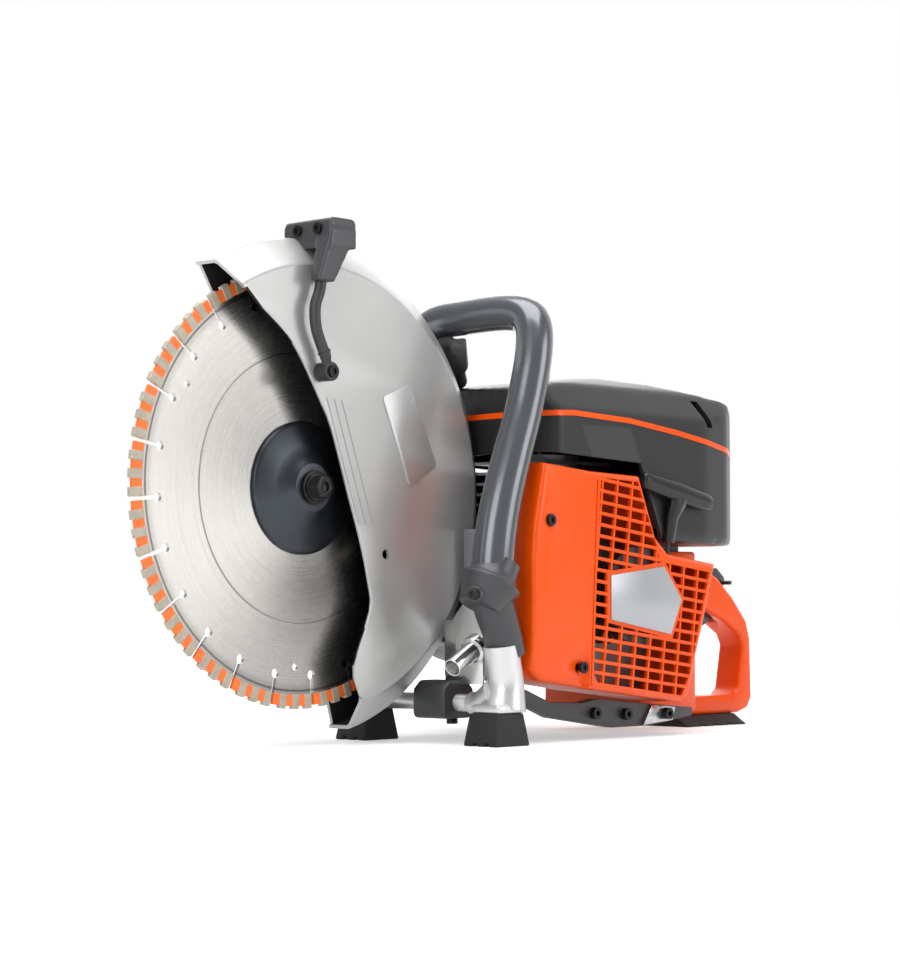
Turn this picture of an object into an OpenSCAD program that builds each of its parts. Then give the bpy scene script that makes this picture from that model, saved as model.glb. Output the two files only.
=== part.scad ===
// Rescue saw: a petrol power cutter with a 350 mm blade, tilting guard, belt drive and recoil starter.
// Frame: +X runs from the blade to the rear handle, -Y is the starter side, +Z is up.
// The origin is on the floor, under the middle of the machine's bounding box.

/* [Blade] */
// Blade diameter over the segments
blade_d = 350; // [300:5:420]
// Thickness of the steel core
core_t = 3; // [2:0.2:4]
// Radial height of the cutting segments
seg_h = 11.5; // [8:0.5:15]
// Thickness over the raised segment teeth
tooth_t = 4.4; // [3.6:0.2:6]
// Number of slots round the rim
slots = 24; // [12:2:30]
// Width of one rim slot
slot_w = 3; // [2:0.5:5]
// Diameter of the keyhole at the foot of a slot
keyhole_d = 7.5; // [5:0.5:10]
// Arbor bore diameter
arbor_d = 25.4; // [20:0.2:30]

/* [Guard] */
// Radial gap from the blade to the inside of the rim
rim_gap = 20; // [12:1:30]
// Wall thickness of the casting
guard_t = 3; // [2:0.5:5]
// Left wall's outer face, measured from the blade plane
guard_left = 28; // [24:1:36]
// Right wall's outer face, measured from the blade plane
guard_right = 15; // [14:0.5:17]
// Radial drop of the bevel between rim and left wall
bevel_drop = 23; // [12:1:30]
// Radius of the pivot boss that the guard tilts on
pivot_r = 32; // [29:0.5:38]

/* [Stance] */
// Gap from the guard's rim to the floor
ground_gap = 7; // [4:1:20]
// Distance from the guard's rim to the crankshaft axis
crank_gap = 92; // [90:1:120]
// Height of the crankshaft axis
crank_h = 120; // [116:1:130]
// Distance from the crankshaft axis to the back of the rear handle
rear_reach = 291; // [286:1:330]
// Half of the overall width
half_w = 119; // [119:1:130]

/* [Engine] */
// Cylinder bore
bore_d = 51; // [44:1:56]
// Piston stroke
stroke = 36; // [30:1:38]
// Radius of the flywheel fan
fan_r = 46; // [38:1:47]
// Radius of the driven pulley on the spindle
driven_r = 46; // [40:1:50]
// Spindle revolutions per crankshaft revolution
belt_ratio = 0.505; // [0.45:0.005:0.6]

/* [Handles] */
// Outside radius of the front handle tube
tube_r = 15.5; // [12:0.5:17]
// Height of the front handle's top bar above the spindle
bar_rise = 149; // [140:1:175]
// Half width of the rear grip
grip_half = 15; // [13:0.5:20]

/* [Clearances] */
// Radial running clearance of every shaft and boss
run_fit = 0.05; // [0.02:0.01:0.1]
// Wall of the moulded covers
cover_t = 3; // [2:0.5:4]

/* [Hidden] */
$fn = 64;

// Main axes
blade_r = blade_d / 2;
guard_r = blade_r + rim_gap + guard_t;
spindle_h = guard_r + ground_gap;
crank_x = guard_r + crank_gap;
total_l = blade_r + crank_x + rear_reach;
spindle_x = blade_r - total_l / 2;
crank_ax = spindle_x + crank_x;

// Stations across the machine, from the blade plane
flange_t = 8.5;
flange_in = core_t / 2;
flange_out = flange_in + flange_t;
arm_in = 20;
arm_out = 46;
case_right = 38;
case_left = 60;
pulley_in = 50;
pulley_out = 64;
side_y = half_w - 3;

// Spindle and arbor
shaft_r = 10;
arbor_r = arbor_d / 2;
flange_r = 53;
bearing_r = 21;
bearing_w = 12;
bolt_r = 5;
hub_end = 16;
washer_t = 3;
core_r = blade_r - seg_h;

// Belt drive
drive_r = driven_r * belt_ratio;
belt_t = 4;
belt_gap = 0.35;
drum_r = 40;

// Crankshaft
journal_r = 8;
web_r = 32;
throw = stroke / 2;
pin_r = 7;

// Cylinder and piston
bore_r = bore_d / 2;
piston_h = 34;
deck_h = crank_h + 52;
piston_top = crank_h + 108;

// Polygon helpers ----------------------------------------------------------------------------

function unit(v) = v / norm(v);

// Insets a counter-clockwise polygon by d with mitred corners
function inset(p, d) = [for (i = [0 : len(p) - 1])
  let (a = p[(i + len(p) - 1) % len(p)], b = p[i], c = p[(i + 1) % len(p)])
  let (e = unit(b - a), f = unit(c - b))
  let (m = [-e[1], e[0]], n = [-f[1], f[0]])
  b + (m + n) * d / (1 + m * n)];

// Points of an arc about the origin
function arc(r, from, to, steps) = [for (i = [0 : steps])
  let (a = from + (to - from) * i / steps) [r * cos(a), r * sin(a)]];

// Extrudes an XZ outline from y0 to y1
module slab(y0, y1) {
  translate([0, y1, 0]) rotate([90, 0, 0]) linear_extrude(y1 - y0) children();
}

// Cylinder along Y from y0 to y1
module rod(r, y0, y1) {
  translate([0, y0, 0]) rotate([-90, 0, 0]) cylinder(r = r, h = y1 - y0);
}

// Cylinder between two points
module bar(a, b, r, r2 = -1) {
  d = b - a;
  translate(a) rotate([0, acos(d[2] / norm(d)), atan2(d[1], d[0])])
    cylinder(r1 = r, r2 = r2 < 0 ? r : r2, h = norm(d));
}

// A taut loop round two circles in the XZ plane, as one solid from y0 to y1
module loop(c1, r1, c2, r2, y0, y1) {
  slab(y0, y1) hull() {
    translate(c1) circle(r = r1);
    translate(c2) circle(r = r2);
  }
}

// Socket-head screw whose head's underside is at the origin, head along +Z
module screw(head_r, head_h, shank_r, shank_l) {
  difference() {
    cylinder(r = head_r, h = head_h);
    translate([0, 0, head_h * 0.4]) cylinder(r = head_r * 0.52, h = head_h, $fn = 6);
  }
  translate([0, 0, -shank_l]) cylinder(r = shank_r, h = shank_l);
}

// Smooth curve through a list of points, n spans between neighbours
function curve(p, n) = concat([for (i = [0 : len(p) - 2], j = [0 : n - 1])
  let (t = j / n, a = p[max(i - 1, 0)], b = p[i], c = p[i + 1], d = p[min(i + 2, len(p) - 1)])
  0.5 * (2 * b + (c - a) * t + (2 * a - 5 * b + 4 * c - d) * t * t
    + (3 * b - a - 3 * c + d) * t * t * t)], [p[len(p) - 1]]);

// Tube swept along a path; ref is any direction that the path never runs along
module sweep(path, r, sides, ref) {
  n = len(path);
  pts = [for (i = [0 : n - 1]) let (t = unit(path[min(i + 1, n - 1)] - path[max(i - 1, 0)]))
    let (u = unit(cross(ref, t)), v = cross(t, u)) for (k = [0 : sides - 1])
    path[i] + r * (cos(360 * k / sides) * u + sin(360 * k / sides) * v)];
  walls = [for (i = [0 : n - 2], k = [0 : sides - 1]) let (m = (k + 1) % sides)
    each [[i * sides + k, (i + 1) * sides + k, i * sides + m],
      [i * sides + m, (i + 1) * sides + k, (i + 1) * sides + m]]];
  caps = [[for (k = [0 : sides - 1]) k], [for (k = [sides - 1 : -1 : 0]) (n - 1) * sides + k]];
  polyhedron(pts, concat(walls, caps));
}

// Places its children on the spindle axis, or on the crankshaft axis
module at_spindle() {
  translate([spindle_x, 0, spindle_h]) children();
}
module at_crank() {
  translate([crank_ax, 0, crank_h]) children();
}
// Places its children on the floor below the crankshaft axis
module at_body() {
  translate([crank_ax, 0, 0]) children();
}

// Blade ----------------------------------------------------------------------------------------

key_r = core_r - 15;
slot_from = 124.5;

module rim_slots(t) {
  for (i = [0 : slots - 1]) rotate([0, -slot_from - 360 * i / slots, 0]) {
    translate([key_r, -t / 2, -slot_w / 2]) cube([blade_r, t, slot_w]);
    translate([key_r, 0, 0]) rod(keyhole_d / 2, -t / 2, t / 2);
  }
}

module blade_core() {
  color("silver") at_spindle() difference() {
    rod(core_r, -core_t / 2, core_t / 2);
    rod(arbor_r, -core_t, core_t);
    rim_slots(core_t * 2);
    for (a = [27.7, 147.7, 267.7]) rotate([0, -a, 0]) translate([core_r - 22, 0, 0])
      rod(3, -core_t, core_t);
    translate([0, -core_t / 2 - 0.6, 0]) rotate([-90, 0, 0]) difference() {
      cylinder(r = 108, h = 0.9);
      translate([0, 0, -1]) cylinder(r = 106.4, h = 3);
    }
  }
}

// Each segment is a thin ring sector that carries raised teeth
teeth = 3;
tooth_w = 7.5;
base_t = 2.8;

module blade_segments() {
  pitch = 360 / slots;
  color("tan") at_spindle() difference() {
    union() {
      rod(blade_r - 1, -base_t / 2, base_t / 2);
      intersection() {
        rod(blade_r, -tooth_t / 2, tooth_t / 2);
        for (i = [0 : slots * teeth - 1]) rotate([0, -slot_from - pitch * (i + 0.5) / teeth, 0])
          translate([core_r - 2, -tooth_t, -tooth_w / 2]) cube([seg_h * 2, tooth_t * 2, tooth_w]);
      }
    }
    rod(core_r, -tooth_t, tooth_t);
    rim_slots(tooth_t * 3);
  }
}

module inner_flange() {
  color("dimgray") at_spindle() difference() {
    union() {
      rod(flange_r, flange_in, flange_in + 4);
      rod(26, flange_in + 4, flange_out);
    }
    rod(arbor_r, flange_in - 1, flange_out + 1);
    rod(flange_r - 12, flange_in - 1, flange_in + 0.8);
  }
}

module outer_flange() {
  color("#3c3f44") at_spindle() rotate([90, 0, 0]) rotate_extrude() polygon([
    [arbor_r, flange_in + 0.8], [flange_r - 12, flange_in + 0.8], [flange_r - 12, flange_in],
    [flange_r, flange_in], [flange_r, flange_in + 2.5], [flange_r - 3, flange_in + 4.5],
    [34, flange_in + 6.5], [24, flange_in + 11], [19, hub_end], [bolt_r + 1, hub_end],
    [bolt_r + 1, flange_in + 6], [arbor_r, flange_in + 6]]);
}

module bolt_washer() {
  color("#1c1c1e") at_spindle() difference() {
    rod(13.5, -hub_end - washer_t, -hub_end);
    rod(bolt_r + 0.3, -hub_end - 2 * washer_t, -hub_end + 1);
  }
}

module blade_bolt() {
  head = -hub_end - washer_t;
  color("#2a2b2d") at_spindle() difference() {
    union() {
      rod(bolt_r, head, 22);
      rod(11.5, head - 2, head);
      translate([0, head - 2, 0]) rotate([90, 0, 0]) cylinder(r = 9.8, h = 8.5, $fn = 6);
    }
    rod(4, head - 11.5, head - 8);
  }
}

module spindle_shaft() {
  color("gainsboro") at_spindle() difference() {
    union() {
      rod(arbor_r - run_fit, -flange_in - 5, flange_out);
      rod(shaft_r, flange_out - 1, pulley_out + 3);
    }
    rod(bolt_r, -flange_in - 6, 22);
  }
}

module driven_pulley() {
  color("gray") at_spindle() difference() {
    union() {
      rod(driven_r, pulley_in + 1, pulley_out - 1);
      rod(driven_r + 2, pulley_in, pulley_in + 1);
      rod(driven_r + 2, pulley_out - 1, pulley_out);
    }
    rod(shaft_r, pulley_in - 1, pulley_out + 1);
    for (i = [0 : 4]) rotate([0, 72 * i, 0]) translate([driven_r * 0.6, 0, 0])
      rod(driven_r * 0.17, pulley_in - 1, pulley_out + 1);
  }
}

// Guard ----------------------------------------------------------------------------------------

rim_from = -76;
rim_to = 119.5;
wall_r = guard_r - bevel_drop;
ribs = 3;

// Left wall's free edge, from the lower end up to the front mouth, as shares of the rim radius
left_edge = [[0.2, -0.82], [0.17, -0.71], [0.262, -0.49], [0.25, -0.37], [0.204, -0.207],
  [0.13, -0.008], [0.045, 0.23], [-0.02, 0.345], [-0.12, 0.5], [-0.2, 0.59], [-0.325, 0.68]];
// Right wall's free edge, which runs round the pivot plate
right_edge = [[0.21, -0.82], [-0.02, -0.25], [-0.25, 0.05], [-0.2, 0.35], [-0.38, 0.7]];

module guard_wall(edge, r) {
  pts = concat([for (p = edge) p * guard_r], arc(r, rim_to - 0.6, rim_from + 0.6, 40));
  slab(0, guard_t) polygon(pts);
}

module rim(turn_from, turn_to) {
  s = guard_left - 20;
  rotate([90, 0, 0]) rotate([0, 0, turn_from]) rotate_extrude(angle = turn_to - turn_from)
    polygon([[wall_r - guard_t, guard_left], [wall_r - guard_t, guard_left - guard_t - 0.4],
      [wall_r - 1, guard_left - guard_t - 0.4], [guard_r - guard_t, s - 1], [guard_r - guard_t, -guard_right],
      [guard_r, -guard_right], [guard_r, s], [wall_r, guard_left]]);
}

module blade_guard() {
  color("silver") at_spindle() difference() {
    union() {
      rim(rim_from, rim_to);
      translate([0, -guard_left, 0]) guard_wall(left_edge, wall_r - 0.5);
      translate([0, guard_right - guard_t, 0]) guard_wall(right_edge, guard_r - guard_t / 2);
      rod(pivot_r + 14, guard_right - 3.5, guard_right + 2.5);
      slab(-guard_left - 1, -guard_left) polygon([[64, 75], [96, 87], [128, 21.5], [96, 3]]);
      for (i = [0 : ribs - 1]) slab(-guard_left - 0.8, -guard_left) translate([8 * i, 0])
        polygon([[2, 70], [3.6, 70], [38.6, -28], [37, -28]]);
    }
    rod(pivot_r, 0, guard_right + 5);
    translate([69, 0, -52]) rod(4, -guard_left - 2, 0);
  }
}

// Moulded block over the rim, which the operator pushes to tilt the guard
module guard_grip() {
  fit = 0.1;
  color("dimgray") at_spindle() difference() {
    union() {
      hull() {
        for (x = [-9, 12]) translate([x, 0, guard_r + 9]) rod(4, -47, 5);
        translate([-13, -49, wall_r + 12]) cube([28, 56, 2]);
      }
      hull() {
        translate([-12, -49, guard_r]) cube([26, 16, 4]);
        translate([-22, -45, guard_r - 38]) cube([17, 11, 4]);
      }
    }
    rotate([90, 0, 0]) rotate_extrude($fn = 180) polygon([[0, -30], [guard_r + fit, -30],
      [guard_r + fit, guard_left - 20], [wall_r + fit, guard_left + fit], [0, guard_left + fit]]);
    for (y = grip_screw_y) translate([-13, y, guard_r + 4.5]) rotate([0, -90, 0]) translate([0, 0, -6])
      cylinder(r = 2.2, h = 20);
  }
}

// Water hose from the grip down to a nozzle on the left wall
hose_r = 4.5;
hose_y = -guard_left - 10;
hose_end = [-5, guard_r - 108];
hose_route = [[-14, guard_r - 38.6], [-15, guard_r - 44], [-20, guard_r - 58], [-19, guard_r - 74], [-13, guard_r - 88],
  [-9.6, guard_r - 94], [-8.5, guard_r - 97]];
nozzle_y = -guard_left - 14;
grip_screw_y = [-11, -34];

module guard_screws() {
  color("#222222") at_spindle() {
    for (y = grip_screw_y) translate([-13, y, guard_r + 4.5]) rotate([0, -90, 0]) screw(4.5, 2, 2.2, 6);
    translate([hose_end[0], nozzle_y, hose_end[1]]) rotate([90, 0, 0]) screw(5, 2.5, 2, 9);
  }
}

module water_hose() {
  color("#2b2c2e") at_spindle() sweep(curve([for (p = hose_route) [p[0], hose_y, p[1]]], 3), hose_r, 12, [0, 1, 0]);
}

module water_nozzle() {
  color("#242527") at_spindle() difference() {
    union() {
      translate([hose_end[0], 0, hose_end[1]]) rod(7.5, nozzle_y, -guard_left);
      bar([hose_end[0] - 2, hose_y, hose_end[1] + 5], [hose_end[0] - 3.4, hose_y, hose_end[1] + 10.6], 4);
    }
    translate([hose_end[0], 0, hose_end[1]]) rod(2, nozzle_y - 1, nozzle_y + 9);
  }
}

// Cutting arm and belt drive -------------------------------------------------------------------

hub = [spindle_x, spindle_h];
eng = [crank_ax, crank_h];

module cutting_arm() {
  color("gray") difference() {
    union() {
      difference() {
        loop(hub, 44, eng, 58, arm_in, arm_out);
        translate([crank_ax - 72, arm_in - 1, 0]) cube([200, case_right - arm_in + 1, 400]);
      }
      at_spindle() rod(pivot_r - run_fit, guard_right - 3.5, arm_in + 1);
      at_body() translate([-158, arm_in + 4, 190]) cube([32, arm_out - arm_in - 4, boss_top - 190]);
      at_body() translate([-172, arm_in + 4, strut_top]) cube([22, arm_out - arm_in - 4, 30]);
    }
    at_spindle() rod(bearing_r, guard_right - 1, arm_out + 1);
    at_spindle() rod(shaft_r + 4, 0, arm_out);
    at_crank() rod(26, 0, arm_out + 1);
    hull() for (t = [0.3, 0.62]) translate([spindle_x + crank_x * t, arm_in - 1, 
      spindle_h + (crank_h - spindle_h) * t]) rotate([-90, 0, 0]) cylinder(r = 20, h = 8, $fn = 32);
  }
}

module spindle_bearings() {
  color("lightgray") at_spindle() for (y = [guard_right - 1, arm_out - bearing_w]) difference() {
    rod(bearing_r, y, y + bearing_w);
    rod(shaft_r + run_fit, y - 1, y + bearing_w + 1);
  }
}

module drive_belt() {
  y0 = pulley_in + 1.5;
  y1 = pulley_out - 1.5;
  color("#202020") difference() {
    loop(hub, driven_r + belt_gap + belt_t, eng, drive_r + belt_gap + belt_t, y0, y1);
    loop(hub, driven_r + belt_gap, eng, drive_r + belt_gap, y0 - 1, y1 + 1);
  }
}

boss_top = 220;
strut_top = 100;
belt_cover_r = driven_r + belt_t + 8;
belt_cover_end = pulley_out + 8;
join_x = -61;

// One shell form round both pulleys, which the two covers share
module drive_shell() {
  difference() {
    loop(hub, belt_cover_r, eng, clutch_r, arm_out, belt_cover_end);
    loop(hub, belt_cover_r - cover_t, eng, clutch_r - cover_t, arm_out + 2, belt_cover_end - cover_t);
    loop(hub, 40, eng, 50, arm_out - 1, arm_out + 3);
  }
}

module belt_guard() {
  color("#3a3b3d") difference() {
    drive_shell();
    translate([crank_ax + join_x, arm_out - 2, 0]) cube([400, 200, 600]);
  }
}

// Right-hand cover over the clutch
clutch_r = 60;

module clutch_cover() {
  color("#3a3b3d") difference() {
    union() {
      difference() {
        drive_shell();
        translate([crank_ax + join_x - 600, arm_out - 2, 0]) cube([600, 200, 600]);
      }
      at_crank() rod(clutch_r - 1, belt_cover_end - 1, half_w - 12);
      at_crank() translate([0, half_w - 12, 0]) rotate([-90, 0, 0])
        cylinder(r1 = clutch_r - 1, r2 = clutch_r - 14, h = 12);
    }
    at_crank() rod(clutch_r - cover_t - 1, belt_cover_end - cover_t - 1, half_w - 12);
    at_crank() translate([0, half_w - 13, 0]) rotate([-90, 0, 0])
      cylinder(r1 = clutch_r - cover_t - 1, r2 = clutch_r - 17, h = 9);
    at_crank() for (i = [0 : 8]) translate([-24, half_w - 6, 8.5 * i - 36]) cube([48, 8, 4]);
  }
}

module clutch_drum() {
  color("gray") at_crank() difference() {
    union() {
      rod(drive_r, pulley_in, pulley_out + 3);
      rod(drum_r, pulley_out + 3, pulley_out + 22);
    }
    rod(journal_r + run_fit, pulley_in - 1, pulley_out + 23);
    rod(drum_r - 2.5, pulley_out + 5.5, pulley_out + 23);
  }
}

module clutch_shoes() {
  y = pulley_out + 7;
  color("dimgray") at_crank() difference() {
    rod(drum_r - 4.5, y, y + 12);
    rod(journal_r, y - 1, y + 13);
    for (i = [0 : 2]) rotate([0, 120 * i, 0]) translate([13, y - 1, -2]) cube([40, 14, 4]);
    difference() {
      rod(20, y - 1, y + 13);
      rod(16, y - 2, y + 14);
      for (i = [0 : 2]) rotate([0, 60 + 120 * i, 0]) translate([0, y - 3, -4]) cube([40, 18, 8]);
    }
  }
}

// Engine ---------------------------------------------------------------------------------------

fan_in = case_left + 6;
fan_out = case_left + 34;

module crankshaft() {
  color("silver") at_crank() {
    rod(journal_r, -fan_out - 3, -8);
    rod(journal_r, 8, pulley_out + 21);
    for (y = [-20, 8]) difference() {
      rod(web_r, y, y + 12);
      translate([-web_r - 1, y - 1, 8]) cube([web_r - 16, 14, 30]);
      translate([17, y - 1, 8]) cube([web_r - 16, 14, 30]);
    }
    translate([0, 0, throw]) rod(pin_r, -9, 9);
  }
}

module flywheel() {
  blades = 18;
  color("silver") at_crank() difference() {
    union() {
      rod(fan_r - 14, -fan_in - 16, -fan_in);
      rod(fan_r - 2, -fan_in - 4, -fan_in);
      for (i = [0 : blades - 1]) rotate([0, 360 / blades * i, 0]) translate([0, -fan_in - 20, 24])
        rotate([0, 18, 0]) cube([2, 18, fan_r - 28]);
      rod(18, -fan_out, -fan_in);
    }
    rod(journal_r, -fan_out - 1, -fan_in + 1);
  }
}

module crankcase() {
  color("#8d9094") at_crank() difference() {
    union() {
      rod(50, -case_left, case_right);
      translate([-46, -40, 0]) cube([92, 72, deck_h - crank_h]);
      translate([-50, -case_left + 4, -72]) cube([108, case_left + case_right - 10, 40]);
      translate([0, 0, -crank_h]) slab(-case_left - 2, -case_left) polygon(starter_side);
    }
    rod(36, -22, 22);
    rod(journal_r + run_fit, -case_left - 3, case_right + 1);
    cylinder(r = bore_r + 2, h = deck_h - crank_h + 1);
    translate([-48, -case_left, -74]) cube([96, case_left + case_right + 1, 14]);
  }
}

// Side of the cylinder that faces the arm
fin_right = case_right - 2;
fins = 7;
fin_pitch = 9;

module cylinder_body() {
  cylinder(r = bore_r + 8, h = 70);
  for (i = [0 : fins - 1]) translate([-46, -42, 8 + fin_pitch * i]) cube([92, 42 + fin_right, 2.4]);
  translate([-46, -40, 0]) cube([92, 72, 4]);
  translate([-52, -20, 20]) cube([30, 40, 26]);
  translate([24, -18, 20]) cube([28, 36, 26]);
}

module cylinder_() {
  color("#a8abb0") translate([crank_ax, 0, deck_h]) difference() {
    cylinder_body();
    translate([0, 0, -1]) cylinder(r = bore_r, h = 66);
    translate([0, 0, 60]) cylinder(r = 5, h = 30);
    translate([-60, -11, 26]) cube([60, 22, 14]);
    translate([0, -10, 26]) cube([60, 20, 14]);
  }
}

module piston() {
  color("silver") translate([crank_ax, 0, piston_top - piston_h]) difference() {
    cylinder(r = bore_r - run_fit, h = piston_h);
    translate([0, 0, -1]) cylinder(r = bore_r - 4, h = piston_h - 5);
    for (z = [piston_h - 4, piston_h - 8]) translate([0, 0, z]) difference() {
      cylinder(r = bore_r + 1, h = 1.2);
      translate([0, 0, -1]) cylinder(r = bore_r - 1.5, h = 4);
    }
  }
}

module spark_plug() {
  color("white") translate([crank_ax, 0, deck_h + 60]) {
    cylinder(r = 5, h = 18);
    translate([0, 0, 18]) cylinder(r = 9, h = 8, $fn = 6);
    translate([0, 0, 26]) cylinder(r = 5.5, h = 14);
    translate([0, 0, 40]) cylinder(r = 3, h = 8);
  }
}

muf_front = -135;

module muffler() {
  color("#b7b9bc") at_body() difference() {
    union() {
      translate([muf_front, -58, 0]) slab_box([83, 25, 125], 50);
      translate([-84, -34, 0]) slab_box([32, 50, 125], 50);
      translate([muf_front - 23, -84, 0]) slab_box([16, 26, 46], 54);
      translate([muf_front - 23, -59, 0]) slab_box([25, 26, 46], 54);
      translate([-60, -15, 0]) slab_box([8, 30, 26], 192 - 20);
    }
    translate([muf_front + 2, -56, 0]) slab_box([79, 21, 121], 52);
  }
}

// Box of the given size whose underside is at height z
module slab_box(size, z) {
  translate([0, 0, z]) cube(size);
}

module heat_shield() {
  color("#d4d5d8") at_body() translate([muf_front - 25, 0, 0]) rotate([90, 0, 90]) linear_extrude(2)
    polygon([[-78, 48], [-36, 48], [-36, 92], [-60, 118], [-66, 150], [-78, 150]]);
}

stub_r = 7.5;
stub_base = [-155, -69.5, 80];
stub_tip = [-191, -73, 62];

module exhaust_stub() {
  dir = unit(stub_tip - stub_base);
  color("#c2c4c8") at_body() difference() {
    union() {
      bar(stub_base, stub_tip, stub_r);
      bar(stub_base, stub_base + 11 * dir, stub_r + 3.5);
    }
    translate([muf_front - 25, -200, 0]) cube([60, 200, 200]);
    bar(stub_base + 10 * dir, stub_tip + 2 * dir, stub_r - 1.2);
  }
}

module carburettor() {
  color("#9a9da1") at_body() {
    translate([52, -17, 194]) cube([10, 34, 24]);
    translate([62, -22, 190]) cube([32, 44, 32]);
    translate([94, 0, 206]) rotate([0, 90, 0]) cylinder(r = 14, h = 6);
  }
}

filter_z = 173;

module air_filter() {
  color("ivory") at_body() translate([100, 0, 0]) {
    translate([0, -52, filter_z]) cube([6, 104, 97]);
    for (i = [0 : 10]) translate([5, -48 + 9 * i, filter_z + 3]) cube([50, 6, 88]);
    translate([6, -50, filter_z]) cube([46, 100, 4]);
  }
}

// Tray that carries the filter and stands on the tank
module filter_base() {
  color("#2f3033") at_body() {
    translate([98, -60, tray_z]) cube([30, 122, filter_z - tray_z]);
    translate([128, -75, tray_z]) cube([38, 136, filter_z - tray_z]);
    translate([105, -40, tank_top]) cube([40, 80, tray_z - tank_top]);
  }
}

// Moulded covers -------------------------------------------------------------------------------

tray_z = 169;
top_side = [[-86, 237], [10, 233], [14, 223], [35, 176], [128, 166], [182, 166], [190, 200], [190, 262],
  [177, 287], [150, 294], [67, 305], [4, 307], [-42, 303], [-107, 294], [-134, 289], [-134, 240]];
top_plan = [[-96, -105], [100, -105], [140, -98], [172, -78], [190, -45], [190, 40], [176, 60],
  [150, 68], [-84, 68], [-84, -30], [-113, -64], [-113, -82]];
top_end = [[-106, 150], [69, 150], [69, 272], [50, 296], [20, 308], [-60, 308], [-84, 298], [-106, 270]];
stripe_low = [[-136, 266], [-120, 267], [-77, 269], [-5, 266], [58, 259], [128, 249], [192, 240]];
stripe_w = 4.5;

// The cover's outer form, inset by d on every side
module top_form(d) {
  intersection() {
    slab(-200, 200) polygon(inset(top_side, d));
    linear_extrude(400) polygon(inset(top_plan, d));
    translate([-300, 0, 0]) rotate([90, 0, 90]) linear_extrude(600) polygon(inset(top_end, d));
  }
}

module stripe_band() {
  slab(-200, 200) polygon(concat(stripe_low, [for (i = [len(stripe_low) - 1 : -1 : 0])
    stripe_low[i] + [0, stripe_w]]));
}

module top_cover() {
  color("#3b3c3f") at_body() difference() {
    top_form(0);
    top_form(cover_t);
    translate([-70, -62, 120]) cube([166, 124, 122]);
    translate([90, -62, 120]) cube([82, 126, 60]);
    intersection() {
      difference() {
        top_form(-1);
        top_form(1.2);
      }
      stripe_band();
    }
    translate([120, 60, 200]) rod(3 + run_fit, 0, 20);
  }
}

module cover_stripe() {
  color("darkorange") at_body() intersection() {
    difference() {
      top_form(0);
      top_form(1.2);
    }
    stripe_band();
  }
}

starter_side = [[-140, 60], [-127, 51], [-60, 42], [53, 29], [63, 35], [69, 56], [82, 91], [91, 117], [101, 148],
  [35, 156], [18, 170], [-4, 221], [-66, 223], [-126, 228], [-131, 205], [-137, 178], [-140, 152]];
grille_tilt = 7;
plate_out = [[-44, 137], [-44, 100], [36, 87], [51, 117], [27, 145]];

grille_top = [[-62, 120], [26, 120], [16, 160], [-9, 216], [-63, 218]];
grille_low = [[-62, 54], [-57, 47], [50, 34], [63, 56], [92, 143], [26, 150], [-62, 150]];

// Point of the tilted grid at u along a row and w up the rows
function grid_point(u, w) = [u * cos(grille_tilt) + w * sin(grille_tilt),
  crank_h - u * sin(grille_tilt) + w * cos(grille_tilt)];

// Least distance of a point inside the edges of a counter-clockwise outline
function depth_in(p, outline) = min([for (i = [0 : len(outline) - 1])
  let (a = outline[i], d = unit(outline[(i + 1) % len(outline)] - a), q = p - a)
  d[0] * q[1] - d[1] * q[0]]);

// A slot is cut where its corners are on the grille and clear of the name plate
function slot_fits(u, w, l, h) =
  let (corners = [for (i = [-0.5, 0, 0.5], j = [-0.5, 0.5]) grid_point(u + l * i, w + h * j)])
  min([for (c = corners) max(depth_in(c, grille_top), depth_in(c, grille_low))]) > 2
  && max([for (c = corners) depth_in(c, plate_out)]) < -3.5;

module grille() {
  row = 9.4;
  column = 19.5;
  slot_l = 16.5;
  slot_h = 5.6;
  for (r = [-9 : 11], c = [-4 : 4]) let (u = column * c + 4, w = row * r)
    if (slot_fits(u, w, slot_l, slot_h)) translate([grid_point(u, w)[0], 0, grid_point(u, w)[1]])
      rotate([0, grille_tilt, 0]) translate([-slot_l / 2, -side_y - 1, -slot_h / 2])
      cube([slot_l, cover_t + 2, slot_h]);
}

module starter_cover() {
  color("orangered") at_body() difference() {
    union() {
      difference() {
        slab(-side_y, -case_left - 2) polygon(starter_side);
        slab(-side_y + cover_t, -case_left) polygon(inset(starter_side, cover_t));
      }
      translate([0, 0, crank_h]) rod(starter_bore - run_fit, -side_y + 1, rope_y + 6);
      for (p = starter_holes) translate([p[0], 0, p[1]]) rod(7, -side_y + 1, -case_left - 2);
    }
    grille();
    for (p = starter_holes) translate([p[0], 0, p[1]]) rod(2.5, -side_y - 1, 0);
    translate([rope_x, rope_y, 120]) cylinder(r = rope_r + 1.2, h = 90);
  }
}

starter_holes = [[-120, 181], [-80, 61]];
starter_bore = 7;

module starter_plate() {
  color("gainsboro") at_body() slab(-side_y - 1.2, -side_y) polygon(plate_out);
}

rope_r = 2;
starter_r = 42;
rope_x = starter_r + rope_r + 0.35;
rope_y = -side_y + 9;

module starter_pulley() {
  color("#2f3032") at_crank() difference() {
    union() {
      rod(starter_r, rope_y - 4, rope_y + 4);
      rod(starter_r - 6, rope_y + 3, rope_y + 6);
    }
    rod(starter_bore, rope_y - 5, rope_y + 7);
  }
}

module starter_rope() {
  color("#1d1d1d") at_body() translate([rope_x, rope_y, crank_h]) cylinder(r = rope_r, h = 46);
}

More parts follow.
